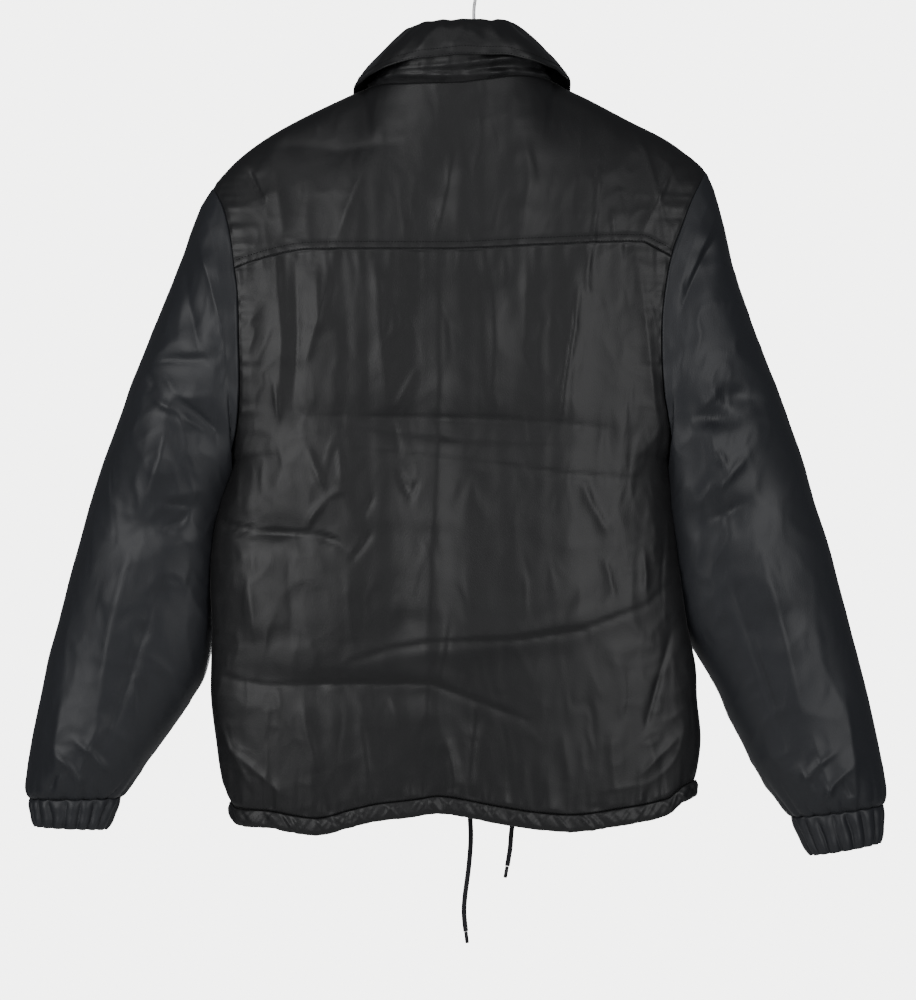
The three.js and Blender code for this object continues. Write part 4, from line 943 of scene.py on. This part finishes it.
def sleeve(side, turn, along):
    """Points of a sleeve without its finer creases."""
    turn, along = np.broadcast_arrays(turn, along)
    angle = turn * 2 * np.pi
    share = (1 - np.cos(angle)) / 2
    sign = SIGN[side]
    hole_x = sign * armhole_out[side](share)
    hole_drop = mix(TIP_DROP[side], UNDERARM_DROP, share)
    ring = [ring_value(side, column, np.maximum(along, 1)) for column in range(6)]
    tuck = smooth(along, 0.5, 2.5) * (1 - smooth(along, TUCK_END[side] - 3, TUCK_END[side] + 1))
    ring[0] = ring[0] - SLEEVE_TUCK[side] * tuck
    x, y, z = ring_point(side, angle, ring)
    bow = hole_x - mix(TIP_X[side], sign * armhole_out[side](1), share)
    x = x + bow * np.maximum(1 - along / BOW_RINGS, 0) ** 1.5
    part = np.clip(along, 0, 1)
    x = mix(hole_x, x, part)
    y = mix(ARMHOLE_DEPTH * np.sin(angle), y, part)
    z = mix(-hole_drop, z, part)
    count = len(SLEEVE[side])
    calm = smooth(along, 0.3, 2.5) * (1 - smooth(along, count - 2, count))
    y = y + np.sin(angle) * calm * fold_relief(SLEEVE_FOLDS[side], x, -z)
    return np.stack([x, y, z], axis=-1)


def sleeve_relief(side, turn, along, points):
    """Creases, crumples, the fullness of the cap and the gathers above the cuff."""
    x, drop = points[..., 0], -points[..., 2]
    angle = turn * 2 * np.pi
    lift = np.sin(angle)
    count = len(SLEEVE[side])
    seed = SLEEVE_SEED[side]
    shown = smooth(lift, 0, 0.45) * crease_relief(SLEEVE_CREASES[side], x, drop)
    hidden = smooth(-lift, 0, 0.45) * crease_relief(SLEEVE_CREASES[side], x, drop - HIDDEN_SHIFT)
    height = SLEEVE_CREASE_GAIN * (shown + hidden)
    length = along * RING_STEP
    # Waves that must meet where the sleeve closes are made from the points and not from the turn
    height = height + 0.7 * noise(x / 40, drop / 46 + points[..., 1] / 70, seed)
    bend = 0.5 + 0.5 * np.exp(-(((length - ELBOW_LENGTH) / ELBOW_REACH) ** 2))
    height = height + 1.5 * bend * crumple(x / 36 + drop / 90, drop / 40 - x / 90 + lift, seed + 1)
    height = height + 0.7 * bend * crumple(x / 17, drop / 19 + lift * 2, seed + 2)
    cap = 0.8 * np.exp(-length / 30) * smooth(length, 0, 6)
    height = height + cap * noise(around_wave(angle, 26), length / 60, seed + 3)
    height = height * smooth(length, 0, 10)
    reach = 2.6 + 1.6 * noise(around_wave(angle, 9), 0.5, seed + 5)
    gather = smooth(along, count - reach, count - 0.2)
    bent = noise(around_wave(angle, 5), along * 0.6, seed + 4)
    pleat = np.abs(np.sin(CUFF_GATHERS * angle / 2 + bent))
    height = height + gather * (2.4 * pleat ** 0.7 - 1.6)
    height = height * (1 - 0.35 * smooth(along, count - 0.5, count))
    # The outer edge hangs almost straight
    height = height * (1 - 0.7 * np.cos(angle / 2) ** 12)
    return height - groove(length) - groove((count - along) * 14)


def around_wave(angle, turns):
    """A place on a loop round a tube, so that a pattern meets itself."""
    return turns * np.cos(angle / 2) ** 2 + 2 * np.sin(angle)


def make_sleeve(side, material):
    count = len(SLEEVE[side])
    turn = np.linspace(0, 1, SLEEVE_TURNS, endpoint=False)[None, :]
    even = np.linspace(0, 1, SLEEVE_ROWS)
    along = (even - 0.25 * np.sin(2 * np.pi * even) / (2 * np.pi))[:, None] * count
    plain = sleeve(side, turn, along)
    centre = plain.mean(axis=1, keepdims=True)
    normals = outwards(grid_normals(plain, True), plain, centre)
    height = sleeve_relief(side, *np.broadcast_arrays(turn, along), plain)
    outer = plain + normals * height[..., None]
    obj, _ = shell_from(f"sleeve-{side}", outer, centre, material, closed=True)
    finish_sheet(obj, f"sleeve_{side}")


def make_cuff(side, material):
    """An elastic cuff: deep uneven gathers that run its whole length."""
    start = np.array(SLEEVE[side][-1], float)
    end = np.array(CUFF_END[side], float)
    share = np.linspace(0, 1, CUFF_ROWS)[:, None]
    angle = np.linspace(0, 2 * np.pi, CUFF_TURNS, endpoint=False)[None, :]
    ring = [mix(start[column], end[column], share) for column in range(6)]
    plain = np.stack(np.broadcast_arrays(*ring_point(side, angle, ring)), axis=-1)
    centre = plain.mean(axis=1, keepdims=True)
    normals = outwards(grid_normals(plain, True), plain, centre)
    seed = CUFF_SEED[side]
    phase = CUFF_GATHERS * angle + 1.1 * noise(around_wave(angle, 7), share * 1.5, seed)
    depth = CUFF_GATHER_DEPTH * (1 + 0.4 * noise(around_wave(angle, 9), share * 2, seed + 1))
    ruck = np.abs(np.sin(phase / 2)) ** 0.7 - 1
    height = CUFF_SWELL * np.sin(share * np.pi) + depth * ruck * np.sqrt(smooth(share, 0, 0.25))
    height = height + CUFF_ELASTIC * np.sin(share * 3 * np.pi)
    outer = plain + normals * height[..., None]
    obj, _ = shell_from(f"cuff-{side}", outer, centre, material, closed=True)
    finish_sheet(obj, f"cuff_{side}")


# Collar

fold_curve = [curve(COLLAR_FOLD, column) for column in (1, 2, 3)]
edge_curve = [curve(COLLAR_EDGE, column) for column in (1, 2, 3)]
TURN_STEP = 2


def collar_turns():
    """Signed turns round the neck, from the wearer's right end of the opening to the left one."""
    return np.arange(-180, 180 + TURN_STEP, TURN_STEP, dtype=float)


def collar_line(parts, turns):
    sign = np.sign(turns) + (turns == 0)
    out, y, drop = (part(np.abs(turns)) for part in parts)
    x = sign * out + OPENING_TOP_X / 2
    return np.stack([x, y, -drop - COLLAR_TILT * x], axis=-1)


def neck_line(turns):
    sign = np.sign(turns) + (turns == 0)
    size = np.abs(turns)
    x = sign * NECK_HALF_WIDTH * np.sin(np.radians(size))
    closing = smooth(size, 168, 180)
    x = mix(x, OPENING_TOP_X + sign * COLLAR_HALF_GAP, closing)
    across = across_of_x(x)
    back = torso(1, across, np.zeros(len(x)))
    front = torso(-1, across, np.zeros(len(x)))
    return np.where((size <= 90)[:, None], back, front)


def away_from_neck(turns):
    angle = np.radians(turns)
    return np.stack([np.sin(angle), np.cos(angle), np.zeros(len(turns))], axis=-1)


def make_stand(material):
    turns = collar_turns()
    away = away_from_neck(turns)
    foot = neck_line(turns) - STAND_SET_IN * away
    foot[:, 2] -= STAND_FOOT_DROP
    top = collar_line(fold_curve, turns) - FOLD_INSET * away
    top[:, 2] -= FOLD_ROOF
    swell = STAND_BULGE * (1 - smooth(np.abs(turns), 45, 90))
    shares = np.linspace(0, 1, STAND_ROWS)[:, None]
    rows = mix(foot[None], top[None], shares[..., None])
    ripple = stand_ripple(turns[None, :], shares)
    lift = swell[None, :] * np.sin(shares * np.pi) + ripple
    outer = rows + lift[..., None] * away[None]
    obj, _ = shell_from("collar-stand", outer, np.array([0, 0, -90]), material)
    finish_sheet(obj, "collar_stand")


def stand_ripple(turns, shares):
    """Lengthwise folds of the slumped collar stand."""
    slant = 0.05 * np.sin(np.radians(turns) * 2)
    first = np.exp(-(((shares - 0.14 - slant) / 0.06) ** 2))
    second = np.exp(-(((shares - 0.32 + slant) / 0.07) ** 2))
    dip = np.exp(-(((shares - 0.23) / 0.05) ** 2))
    wave = 1 + 0.7 * noise(turns / 11, shares * 2, STAND_SEED)
    fine = 1.3 * noise(turns / 6, shares * 6, STAND_SEED + 1)
    return (3.4 * first + 2.6 * second - 2.2 * dip) * wave + fine * smooth(shares, 0, 0.15)


def leaf_grid():
    turns = collar_turns()
    away = away_from_neck(turns)
    edge = collar_line(edge_curve, turns)
    fold = collar_line(fold_curve, turns)
    fold[:, 2] += 1.4 * noise(turns / 9, 0, LEAF_SEED)
    edge[:, 2] += 0.8 * noise(turns / 13, 0, LEAF_SEED + 1)
    shares = np.linspace(0, 1, LEAF_ROWS)
    rows = []
    for share in shares:
        rise = mix(edge, fold, share)
        swell = LEAF_BULGE * np.sin(share * np.pi)
        wave = 1.1 * noise(turns / 8, share * 2.4, LEAF_SEED + 2)
        wave = wave + 0.5 * noise(turns / 4, share * 5, LEAF_SEED + 3)
        calm = smooth(share, 0, 0.15) * (1 - smooth(share, 0.9, 1))
        rows.append(rise + (swell + wave * calm)[:, None] * away)
    for turn_in in (0.2, 0.5, 0.8, 1):
        over = fold - (LIP * turn_in) * away
        over[:, 2] += 1.2 * np.sin(turn_in * np.pi)
        rows.append(over)
    grid = np.array(rows)
    ridge = len(shares) - 1
    grid[ridge] = (grid[ridge - 1] + 2 * grid[ridge] + grid[ridge + 1]) / 4
    return grid


def make_leaf(material):
    outer = leaf_grid()
    obj, normals = shell_from("collar-leaf", outer, np.array([0, 0, -110]), material)
    finish_sheet(obj, "collar_leaf")
    return [
        (line_from_edge(outer, LEAF_STITCH), normals[LEAF_STITCH_ROW]),
        (line_from_edge(outer, EDGE_STITCH), normals[2]),
    ]


# Hem casing


def make_casing(name, node, line, side, material):
    """A casing that hangs under a panel's last row, gathered by its cord."""
    points, normals = line
    out = normals * np.array([1, 1, 0])
    out = out / np.linalg.norm(out, axis=-1, keepdims=True)
    steps = np.linalg.norm(np.diff(points, axis=0), axis=-1)
    travelled = np.concatenate([[0], np.cumsum(steps)])
    count = int(travelled[-1] / CASING_STEP)
    where = np.linspace(0.15, travelled[-1] - 0.15, count)
    at = np.stack([np.interp(where, travelled, points[:, axis]) for axis in range(3)], axis=-1)
    away = np.stack([np.interp(where, travelled, out[:, axis]) for axis in range(3)], axis=-1)
    corners = finer_section(CASING)
    rise = lap_share(side, at[:, 0], 2) * HEM_LAP_RISE if side else np.zeros(count)
    rows = []
    for section_out, section_down, gather in corners:
        slant = section_down * CASING_SLANT
        wave = noise((where + slant) / 4.6, section_down / 40, CASING_SEED)
        wave = wave + 0.5 * noise((where - slant) / 2.7, section_down / 26, CASING_SEED + 1)
        place = at + away * (section_out + CASING_GATHER * gather * wave)[:, None]
        place[:, 1] -= rise
        place[:, 2] -= section_down + 0.5 * gather * wave * (section_down > 14)
        rows.append(place)
    outer = np.array(rows).transpose(1, 0, 2)
    obj, _ = shell_from(name, outer, outer.mean(axis=1, keepdims=True), material, closed=True)
    finish_sheet(obj, node)


def finer_section(corners):
    """Three points for each corner of a closed section."""
    ends = [(number, *row) for number, row in enumerate(corners + corners[:1])]
    fine = np.arange(0, len(corners), 1 / 3)
    return np.stack([curve(ends, column)(fine) for column in (1, 2, 3)], axis=-1)


def add_tube(name, grid, material):
    """A closed tube from rings of points, with flat ends."""
    rings, sides = grid.shape[:2]
    index = numbered(rings, sides, closed=True)
    points = grid.reshape(-1, 3)
    faces = facing_out(points, quads(index))
    turned = faces[0][1] != index[0, 1]
    first = index[0, :-1].tolist()
    last = index[-1, :-1].tolist()
    caps = [first, last[::-1]] if turned else [first[::-1], last]
    return add_mesh(name, points, faces.tolist() + caps, material)


# Round pieces


def smooth_route(route, count):
    """A smooth line through given points."""
    route = np.asarray(route, float)
    steps = np.linalg.norm(np.diff(route, axis=0), axis=-1)
    at = np.concatenate([[0], np.cumsum(steps)])
    where = np.linspace(0, at[-1], count)
    table = [(place, *point) for place, point in zip(at, route)]
    return np.stack([curve(table, column)(where) for column in (1, 2, 3)], axis=-1)


def tube_grid(line, radius, sides, shape=None):
    """Rings round a line; shape gives an extra radius from the ring's number and the angle."""
    way = np.gradient(line, axis=0)
    way = way / np.linalg.norm(way, axis=-1, keepdims=True)
    side = np.cross(way[0], [0.3, 0.2, 1] if abs(way[0][2]) < 0.8 else [1, 0.2, 0])
    rings = []
    for i, point in enumerate(line):
        side = side - way[i] * np.dot(side, way[i])
        side = side / np.linalg.norm(side)
        other = np.cross(way[i], side)
        angle = np.arange(sides) * 2 * np.pi / sides
        size = radius + (shape(i, angle) if shape else 0 * angle)
        spokes = np.cos(angle)[:, None] * side + np.sin(angle)[:, None] * other
        rings.append(point + size[:, None] * spokes)
    return np.array(rings)


def braid(i, angle):
    """Crossing strands of a braided cord."""
    one = np.abs(np.sin(4 * angle + i * 0.55))
    two = np.abs(np.sin(4 * angle - i * 0.55))
    return 0.32 * np.minimum(one, two) - 0.2


def make_cord(side, material, tip_material):
    route = np.array(CORD_ROUTE[side]) / MM
    line = smooth_route(route, CORD_RINGS[side])
    cord = add_tube(f"cord-{side}", tube_grid(line, CORD_DIAMETER / MM / 2, CORD_SIDES, braid), material)
    way = route[-1] - route[-2]
    way = way / np.linalg.norm(way)
    r = AGLET_RADIUS
    profile = [
        (0.3, 0), (r * 0.85, 0), (r, 0.5), (r, 2.5), (r * 0.93, 2.8), (r * 0.93, 3.4), (r, 3.7),
        (r, AGLET_LENGTH - 1), (r * 0.75, AGLET_LENGTH), (0.3, AGLET_LENGTH),
    ]
    start = route[-1] + way * AGLET_GAP
    tip = add_turned(f"aglet-{side}", profile, AGLET_SIDES, start, way, tip_material)
    place_piece(tip, f"aglet_{side}")
    place_piece(cord, f"cord_{side}")


def turned_rings(profile, sides, place, way):
    """The rings of a turned piece: radius and height of its profile, set on a place along a way out."""
    turn = Vector((0, 0, 1)).rotation_difference(Vector(way).normalized())
    rings = []
    for radius, height in profile:
        ring = []
        for i in range(sides):
            angle = i * 2 * np.pi / sides
            spoke = Vector((radius * np.cos(angle), radius * np.sin(angle), height))
            ring.append(list(turn @ spoke + Vector(place)))
        rings.append(ring)
    return np.array(rings)


def add_turned(name, profile, sides, place, way, material):
    """A turned piece with flat ends."""
    obj = add_tube(name, turned_rings(profile, sides, place, way), material)
    obj.data.set_sharp_from_angle(angle=np.radians(SHARP_ANGLE))
    return obj


def add_ring(name, profile, sides, place, way, material):
    """A turned ring whose profile closes on itself."""
    points = turned_rings(profile, sides, place, way).reshape(-1, 3)
    index = numbered(len(profile), sides, closed=True)
    faces = facing_out(points, quads(np.concatenate([index, index[:1]])))
    return add_mesh(name, points, faces.tolist(), material)


def opening_place(drop):
    """The place on the left front's opening line at a drop, and the way out there."""
    downs = np.linspace(0, 2, 400)
    line = torso(-1, across_of_x(opening_x(downs)), downs)
    place = np.array([np.interp(drop, -line[:, 2], line[:, axis]) for axis in range(3)])
    down = np.interp(drop, -line[:, 2], downs)
    across = across_of_x(opening_x(down))
    near = torso(-1, np.array([across - 0.01, across + 0.01]), np.array([down, down]))
    slope = torso(-1, np.array([across, across]), np.array([down - 0.01, down + 0.01]))
    out = np.cross(near[1] - near[0], slope[1] - slope[0])
    out = out / np.linalg.norm(out)
    if out[1] > 0:
        out = -out
    place[1] -= LAP_RISE
    return place, out


def make_snaps(material):
    r = SNAP_RADIUS
    profile = [
        (0.3, 0), (r * 0.96, 0), (r, 0.3), (r, 0.9), (r * 0.94, 1.6), (r * 0.84, 2.1), (r * 0.7, 2.4),
        (r * 0.62, 2.35), (r * 0.56, 2.0), (r * 0.4, 1.9), (0.3, 1.95),
    ]
    for number, drop in enumerate(SNAP_DROPS, start=1):
        place, out = opening_place(drop)
        start = place + out * SNAP_STAND
        snap = add_turned(f"snap-{number}", profile, SNAP_SIDES, start, out, material)
        place_piece(snap, f"snap_{number}")


def make_eyelet(side, line, material):
    points, normals = line
    order = np.argsort(points[:, 0])
    x = EYELET_X[side]
    place = np.array([np.interp(x, points[order, 0], points[order, axis]) for axis in range(3)])
    out = np.array([np.interp(x, points[order, 0], normals[order, axis]) for axis in range(3)])
    out[2] = 0
    out = out / np.linalg.norm(out)
    place[1] -= float(lap_share(side, x, 2)) * HEM_LAP_RISE
    place[2] -= EYELET_DOWN
    profile = [
        (2.9, 0), (4.6, 0), (4.7, 0.3), (4.5, 0.8), (4.1, 1.15), (3.7, 1.25), (3.3, 1.15), (3.0, 0.8),
        (2.9, 0.4),
    ]
    start = place + out * EYELET_OUT
    eyelet = add_ring(f"eyelet-{side}", profile, EYELET_SIDES, start, out, material)
    place_piece(eyelet, f"eyelet_{side}")


def make_hanger(bar_material, wire_material):
    below = WALL + BAR_CLEARANCE + BAR_RADIUS
    x = np.linspace(-BAR_HALF_LENGTH, BAR_HALF_LENGTH, BAR_RINGS)
    slope = (back_top(x + 2) - back_top(x - 2)) / 4
    under_shoulder = back_top(x) + below * np.hypot(1, slope)
    drop = np.where(np.abs(x) < BAR_NECK, neck_bar_drop(x, below), under_shoulder)
    line = np.stack([x, np.zeros(len(x)), -drop], axis=-1)
    grid = tube_grid(line, BAR_RADIUS, BAR_SIDES)
    for ring, size in enumerate(BAR_END_SIZES):
        for end in (ring, -1 - ring):
            grid[end] = line[end] + (grid[end] - line[end]) * size
    bar = add_tube("hanger-bar", grid, bar_material)
    place_piece(bar, "hanger")
    grid = tube_grid(smooth_route(HOOK_ROUTE, HOOK_RINGS), HOOK_RADIUS, HOOK_SIDES)
    wire = add_tube("hook-wire", grid, wire_material)
    place_piece(wire, "hook")


def neck_bar_drop(x, below):
    """The bar's drop between the shoulders, where it arches up a little."""
    left = back_top(BAR_NECK) + below * 1.1
    right = back_top(-BAR_NECK) + below * 1.1
    share = (x + BAR_NECK) / (2 * BAR_NECK)
    return mix(right, left, share) - BAR_ARCH * np.sin(np.clip(share, 0, 1) * np.pi)


# Materials


def node_material(name):
    material = bpy.data.materials.new(name)
    material.use_nodes = True
    return material, material.node_tree.nodes, material.node_tree.links


def noise_node(nodes, scale, detail, kind="FBM", distortion=0):
    texture = nodes.new("ShaderNodeTexNoise")
    texture.noise_type = kind
    texture.inputs["Scale"].default_value = scale
    texture.inputs["Detail"].default_value = detail
    texture.inputs["Distortion"].default_value = distortion
    return texture


def bump_node(nodes, strength, distance):
    bump = nodes.new("ShaderNodeBump")
    bump.inputs["Strength"].default_value = strength
    bump.inputs["Distance"].default_value = distance
    return bump


def range_node(nodes, low, high):
    spread = nodes.new("ShaderNodeMapRange")
    spread.inputs["To Min"].default_value = low
    spread.inputs["To Max"].default_value = high
    return spread


def cloth_material(name, colour, roughness):
    """Nylon taffeta: a soft gloss, a fine weave and small crinkles."""
    material, nodes, links = node_material(name)
    surface = nodes["Principled BSDF"]
    surface.inputs["Sheen Weight"].default_value = 0.04
    surface.inputs["Sheen Roughness"].default_value = 0.4
    places = nodes.new("ShaderNodeTexCoord")
    mottle = noise_node(nodes, 9, 3)
    crinkle = noise_node(nodes, 40, 3, "RIDGED_MULTIFRACTAL", 0.8)
    weave = noise_node(nodes, 1000, 1)
    gloss = range_node(nodes, roughness - 0.05, roughness + 0.05)
    shade = nodes.new("ShaderNodeMix")
    shade.data_type = "RGBA"
    shade.inputs["A"].default_value = (*[0.85 * part for part in colour], 1)
    shade.inputs["B"].default_value = (*[1.15 * part for part in colour], 1)
    stretch = nodes.new("ShaderNodeMapping")
    stretch.inputs["Scale"].default_value = (1, 1, 0.45)
    crinkle_bump = bump_node(nodes, 0.5, 0.002)
    weave_bump = bump_node(nodes, 0.5, 0.0002)
    for texture in (mottle, stretch, weave):
        links.new(places.outputs["Object"], texture.inputs["Vector"])
    links.new(stretch.outputs["Vector"], crinkle.inputs["Vector"])
    links.new(mottle.outputs["Fac"], gloss.inputs["Value"])
    links.new(mottle.outputs["Fac"], shade.inputs["Factor"])
    links.new(gloss.outputs["Result"], surface.inputs["Roughness"])
    links.new(shade.outputs["Result"], surface.inputs["Base Color"])
    links.new(crinkle.outputs["Fac"], crinkle_bump.inputs["Height"])
    links.new(weave.outputs["Fac"], weave_bump.inputs["Height"])
    links.new(crinkle_bump.outputs["Normal"], weave_bump.inputs["Normal"])
    links.new(weave_bump.outputs["Normal"], surface.inputs["Normal"])
    return material


def plain_material(name, colour, roughness, metallic=0.0, grain=0.0):
    """A plain finish with a little uneven grain."""
    material, nodes, links = node_material(name)
    surface = nodes["Principled BSDF"]
    surface.inputs["Base Color"].default_value = (*colour, 1)
    surface.inputs["Metallic"].default_value = metallic
    places = nodes.new("ShaderNodeTexCoord")
    texture = noise_node(nodes, 300, 2)
    gloss = range_node(nodes, max(roughness - 0.07, 0.05), min(roughness + 0.07, 1))
    bump = bump_node(nodes, grain, 0.0004)
    links.new(places.outputs["Object"], texture.inputs["Vector"])
    links.new(texture.outputs["Fac"], gloss.inputs["Value"])
    links.new(gloss.outputs["Result"], surface.inputs["Roughness"])
    links.new(texture.outputs["Fac"], bump.inputs["Height"])
    links.new(bump.outputs["Normal"], surface.inputs["Normal"])
    return material


# Pieces in the frame


def place_piece(obj, node):
    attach(obj, "root")
    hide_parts(node)


def finish_sheet(obj, node):
    place_piece(obj, node)


def make_torso(cloth):
    """Yoke, back panel, fronts and casings; returns stitch rows and the hem lines of the fronts."""
    across = spread_columns(TORSO_COLUMNS)[None, :]
    yoke_rows = rows_between(0, YOKE_ROW, YOKE_ROWS)[:, None]
    panel_rows = rows_between(YOKE_ROW, 2, PANEL_ROWS)[:, None]
    yoke = torso_grid(1, across, yoke_rows)
    panel = torso_grid(1, across, panel_rows)
    obj, yoke_out = shell_from("back-yoke", yoke, TORSO_MIDDLE, cloth)
    finish_sheet(obj, "back_yoke")
    obj, panel_out = shell_from("back-panel", panel, TORSO_MIDDLE, cloth)
    finish_sheet(obj, "back_panel")
    stitches = [
        (line_from_edge(yoke[::-1], 1.3), yoke_out[-1]),
        (line_from_edge(yoke[::-1], 7), yoke_out[-1]),
        (line_from_edge(panel[::-1], 1.5), panel_out[-2]),
    ]
    plain = torso(1, across, np.array([[1.99], [2.0]]))
    hem_out = outwards(grid_normals(plain), plain, TORSO_MIDDLE)[-1]
    make_casing("hem-back", "hem_back", (plain[-1], hem_out), None, cloth)
    hems = {}
    for side in ("left", "right"):
        grid, hems[side] = front_grid(side)
        obj, out = shell_from(f"front-{side}", grid, TORSO_MIDDLE, cloth)
        finish_sheet(obj, f"front_{side}")
        make_casing(f"hem-front-{side}", f"hem_front_{side}", hems[side], side, cloth)
        stitches.append((line_from_edge(grid[::-1], 1.5), out[-2]))
        if side == "left":
            edge = grid.transpose(1, 0, 2)
            edge_out = out.transpose(1, 0, 2)
            stitches.append((line_from_edge(edge, PLACKET_STITCH), edge_out[8]))
            stitches.append((line_from_edge(edge, 2), edge_out[1]))
    return stitches, hems


def add_camera():
    data = bpy.data.cameras.new("camera")
    data.sensor_width = SENSOR_HEIGHT
    data.lens = SENSOR_HEIGHT * CAMERA_DISTANCE / PHOTO_HEIGHT
    camera = bpy.data.objects.new("camera", data)
    camera.location = (PHOTO_CENTRE_X * MM, CAMERA_DISTANCE * MM, -PHOTO_CENTRE_DROP * MM)
    camera.rotation_euler = (np.pi / 2, 0, np.pi)
    bpy.context.collection.objects.link(camera)
    bpy.context.scene.camera = camera


def add_area_light(name, place, target, size, power):
    data = bpy.data.lights.new(name, "AREA")
    data.shape = "RECTANGLE"
    data.size, data.size_y = size
    data.energy = power
    light = bpy.data.objects.new(name, data)
    light.location = place
    light.rotation_euler = (Vector(target) - Vector(place)).to_track_quat("-Z", "Y").to_euler()
    bpy.context.collection.objects.link(light)


def add_stage():
    """A pale floor, a near-white surround that lights the cloth only weakly, and soft lights."""
    half, depth = FLOOR_HALF, -FLOOR_DROP
    corners = [(-half, -half, depth), (half, -half, depth), (half, half, depth), (-half, half, depth)]
    add_mesh("floor", corners, [[0, 1, 2, 3]], plain_material("floor", FLOOR_COLOUR, 0.7))
    world = bpy.data.worlds.new("surround")
    bpy.context.scene.world = world
    world.use_nodes = True
    nodes, links = world.node_tree.nodes, world.node_tree.links
    path = nodes.new("ShaderNodeLightPath")
    seen = nodes.new("ShaderNodeBackground")
    seen.inputs["Color"].default_value = SEEN_COLOUR
    seen.inputs["Strength"].default_value = SURROUND_SEEN
    dim = nodes["Background"]
    dim.inputs["Color"].default_value = LIGHT_COLOUR
    dim.inputs["Strength"].default_value = SURROUND_LIGHT
    mixer = nodes.new("ShaderNodeMixShader")
    links.new(path.outputs["Is Camera Ray"], mixer.inputs["Fac"])
    links.new(dim.outputs["Background"], mixer.inputs[1])
    links.new(seen.outputs["Background"], mixer.inputs[2])
    links.new(mixer.outputs["Shader"], nodes["World Output"].inputs["Surface"])
    for name, (place, target, size, power) in LIGHTS.items():
        add_area_light(name, place, target, size, power)


def main():
    add_camera()
    cord = plain_material("cord", CORD_COLOUR, 0.75, grain=0.4)
    trim = plain_material("trim_metal", TRIM_COLOUR, 0.35, metallic=0.8)
    for side in ("left", "right"):
        make_cord(side, cord, trim)
    body = cloth_material("shell_body", BODY_COLOUR, 0.46)
    # Sleeves and cuffs get a lighter copy of the body's nylon: painted light, not a different cloth
    sleeve_cloth_painted_light = cloth_material("shell_sleeves_painted_light", SLEEVE_PAINTED_LIGHT_COLOUR, 0.48)
    thread = plain_material("thread", THREAD_COLOUR, 0.7)
    bar = plain_material("hanger_bar", BAR_COLOUR, 0.4)
    wire = plain_material("hook_wire", WIRE_COLOUR, 0.3, metallic=1.0)
    make_hanger(bar, wire)
    stitches, hems = make_torso(body)
    make_stand(body)
    stitches += make_leaf(body)
    for side in ("left", "right"):
        make_sleeve(side, sleeve_cloth_painted_light)
        make_cuff(side, sleeve_cloth_painted_light)
        make_eyelet(side, hems[side], trim)
    make_snaps(trim)
    sewing = add_stitches("topstitching", stitches, thread)
    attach(sewing, "root")
    add_stage()


main()
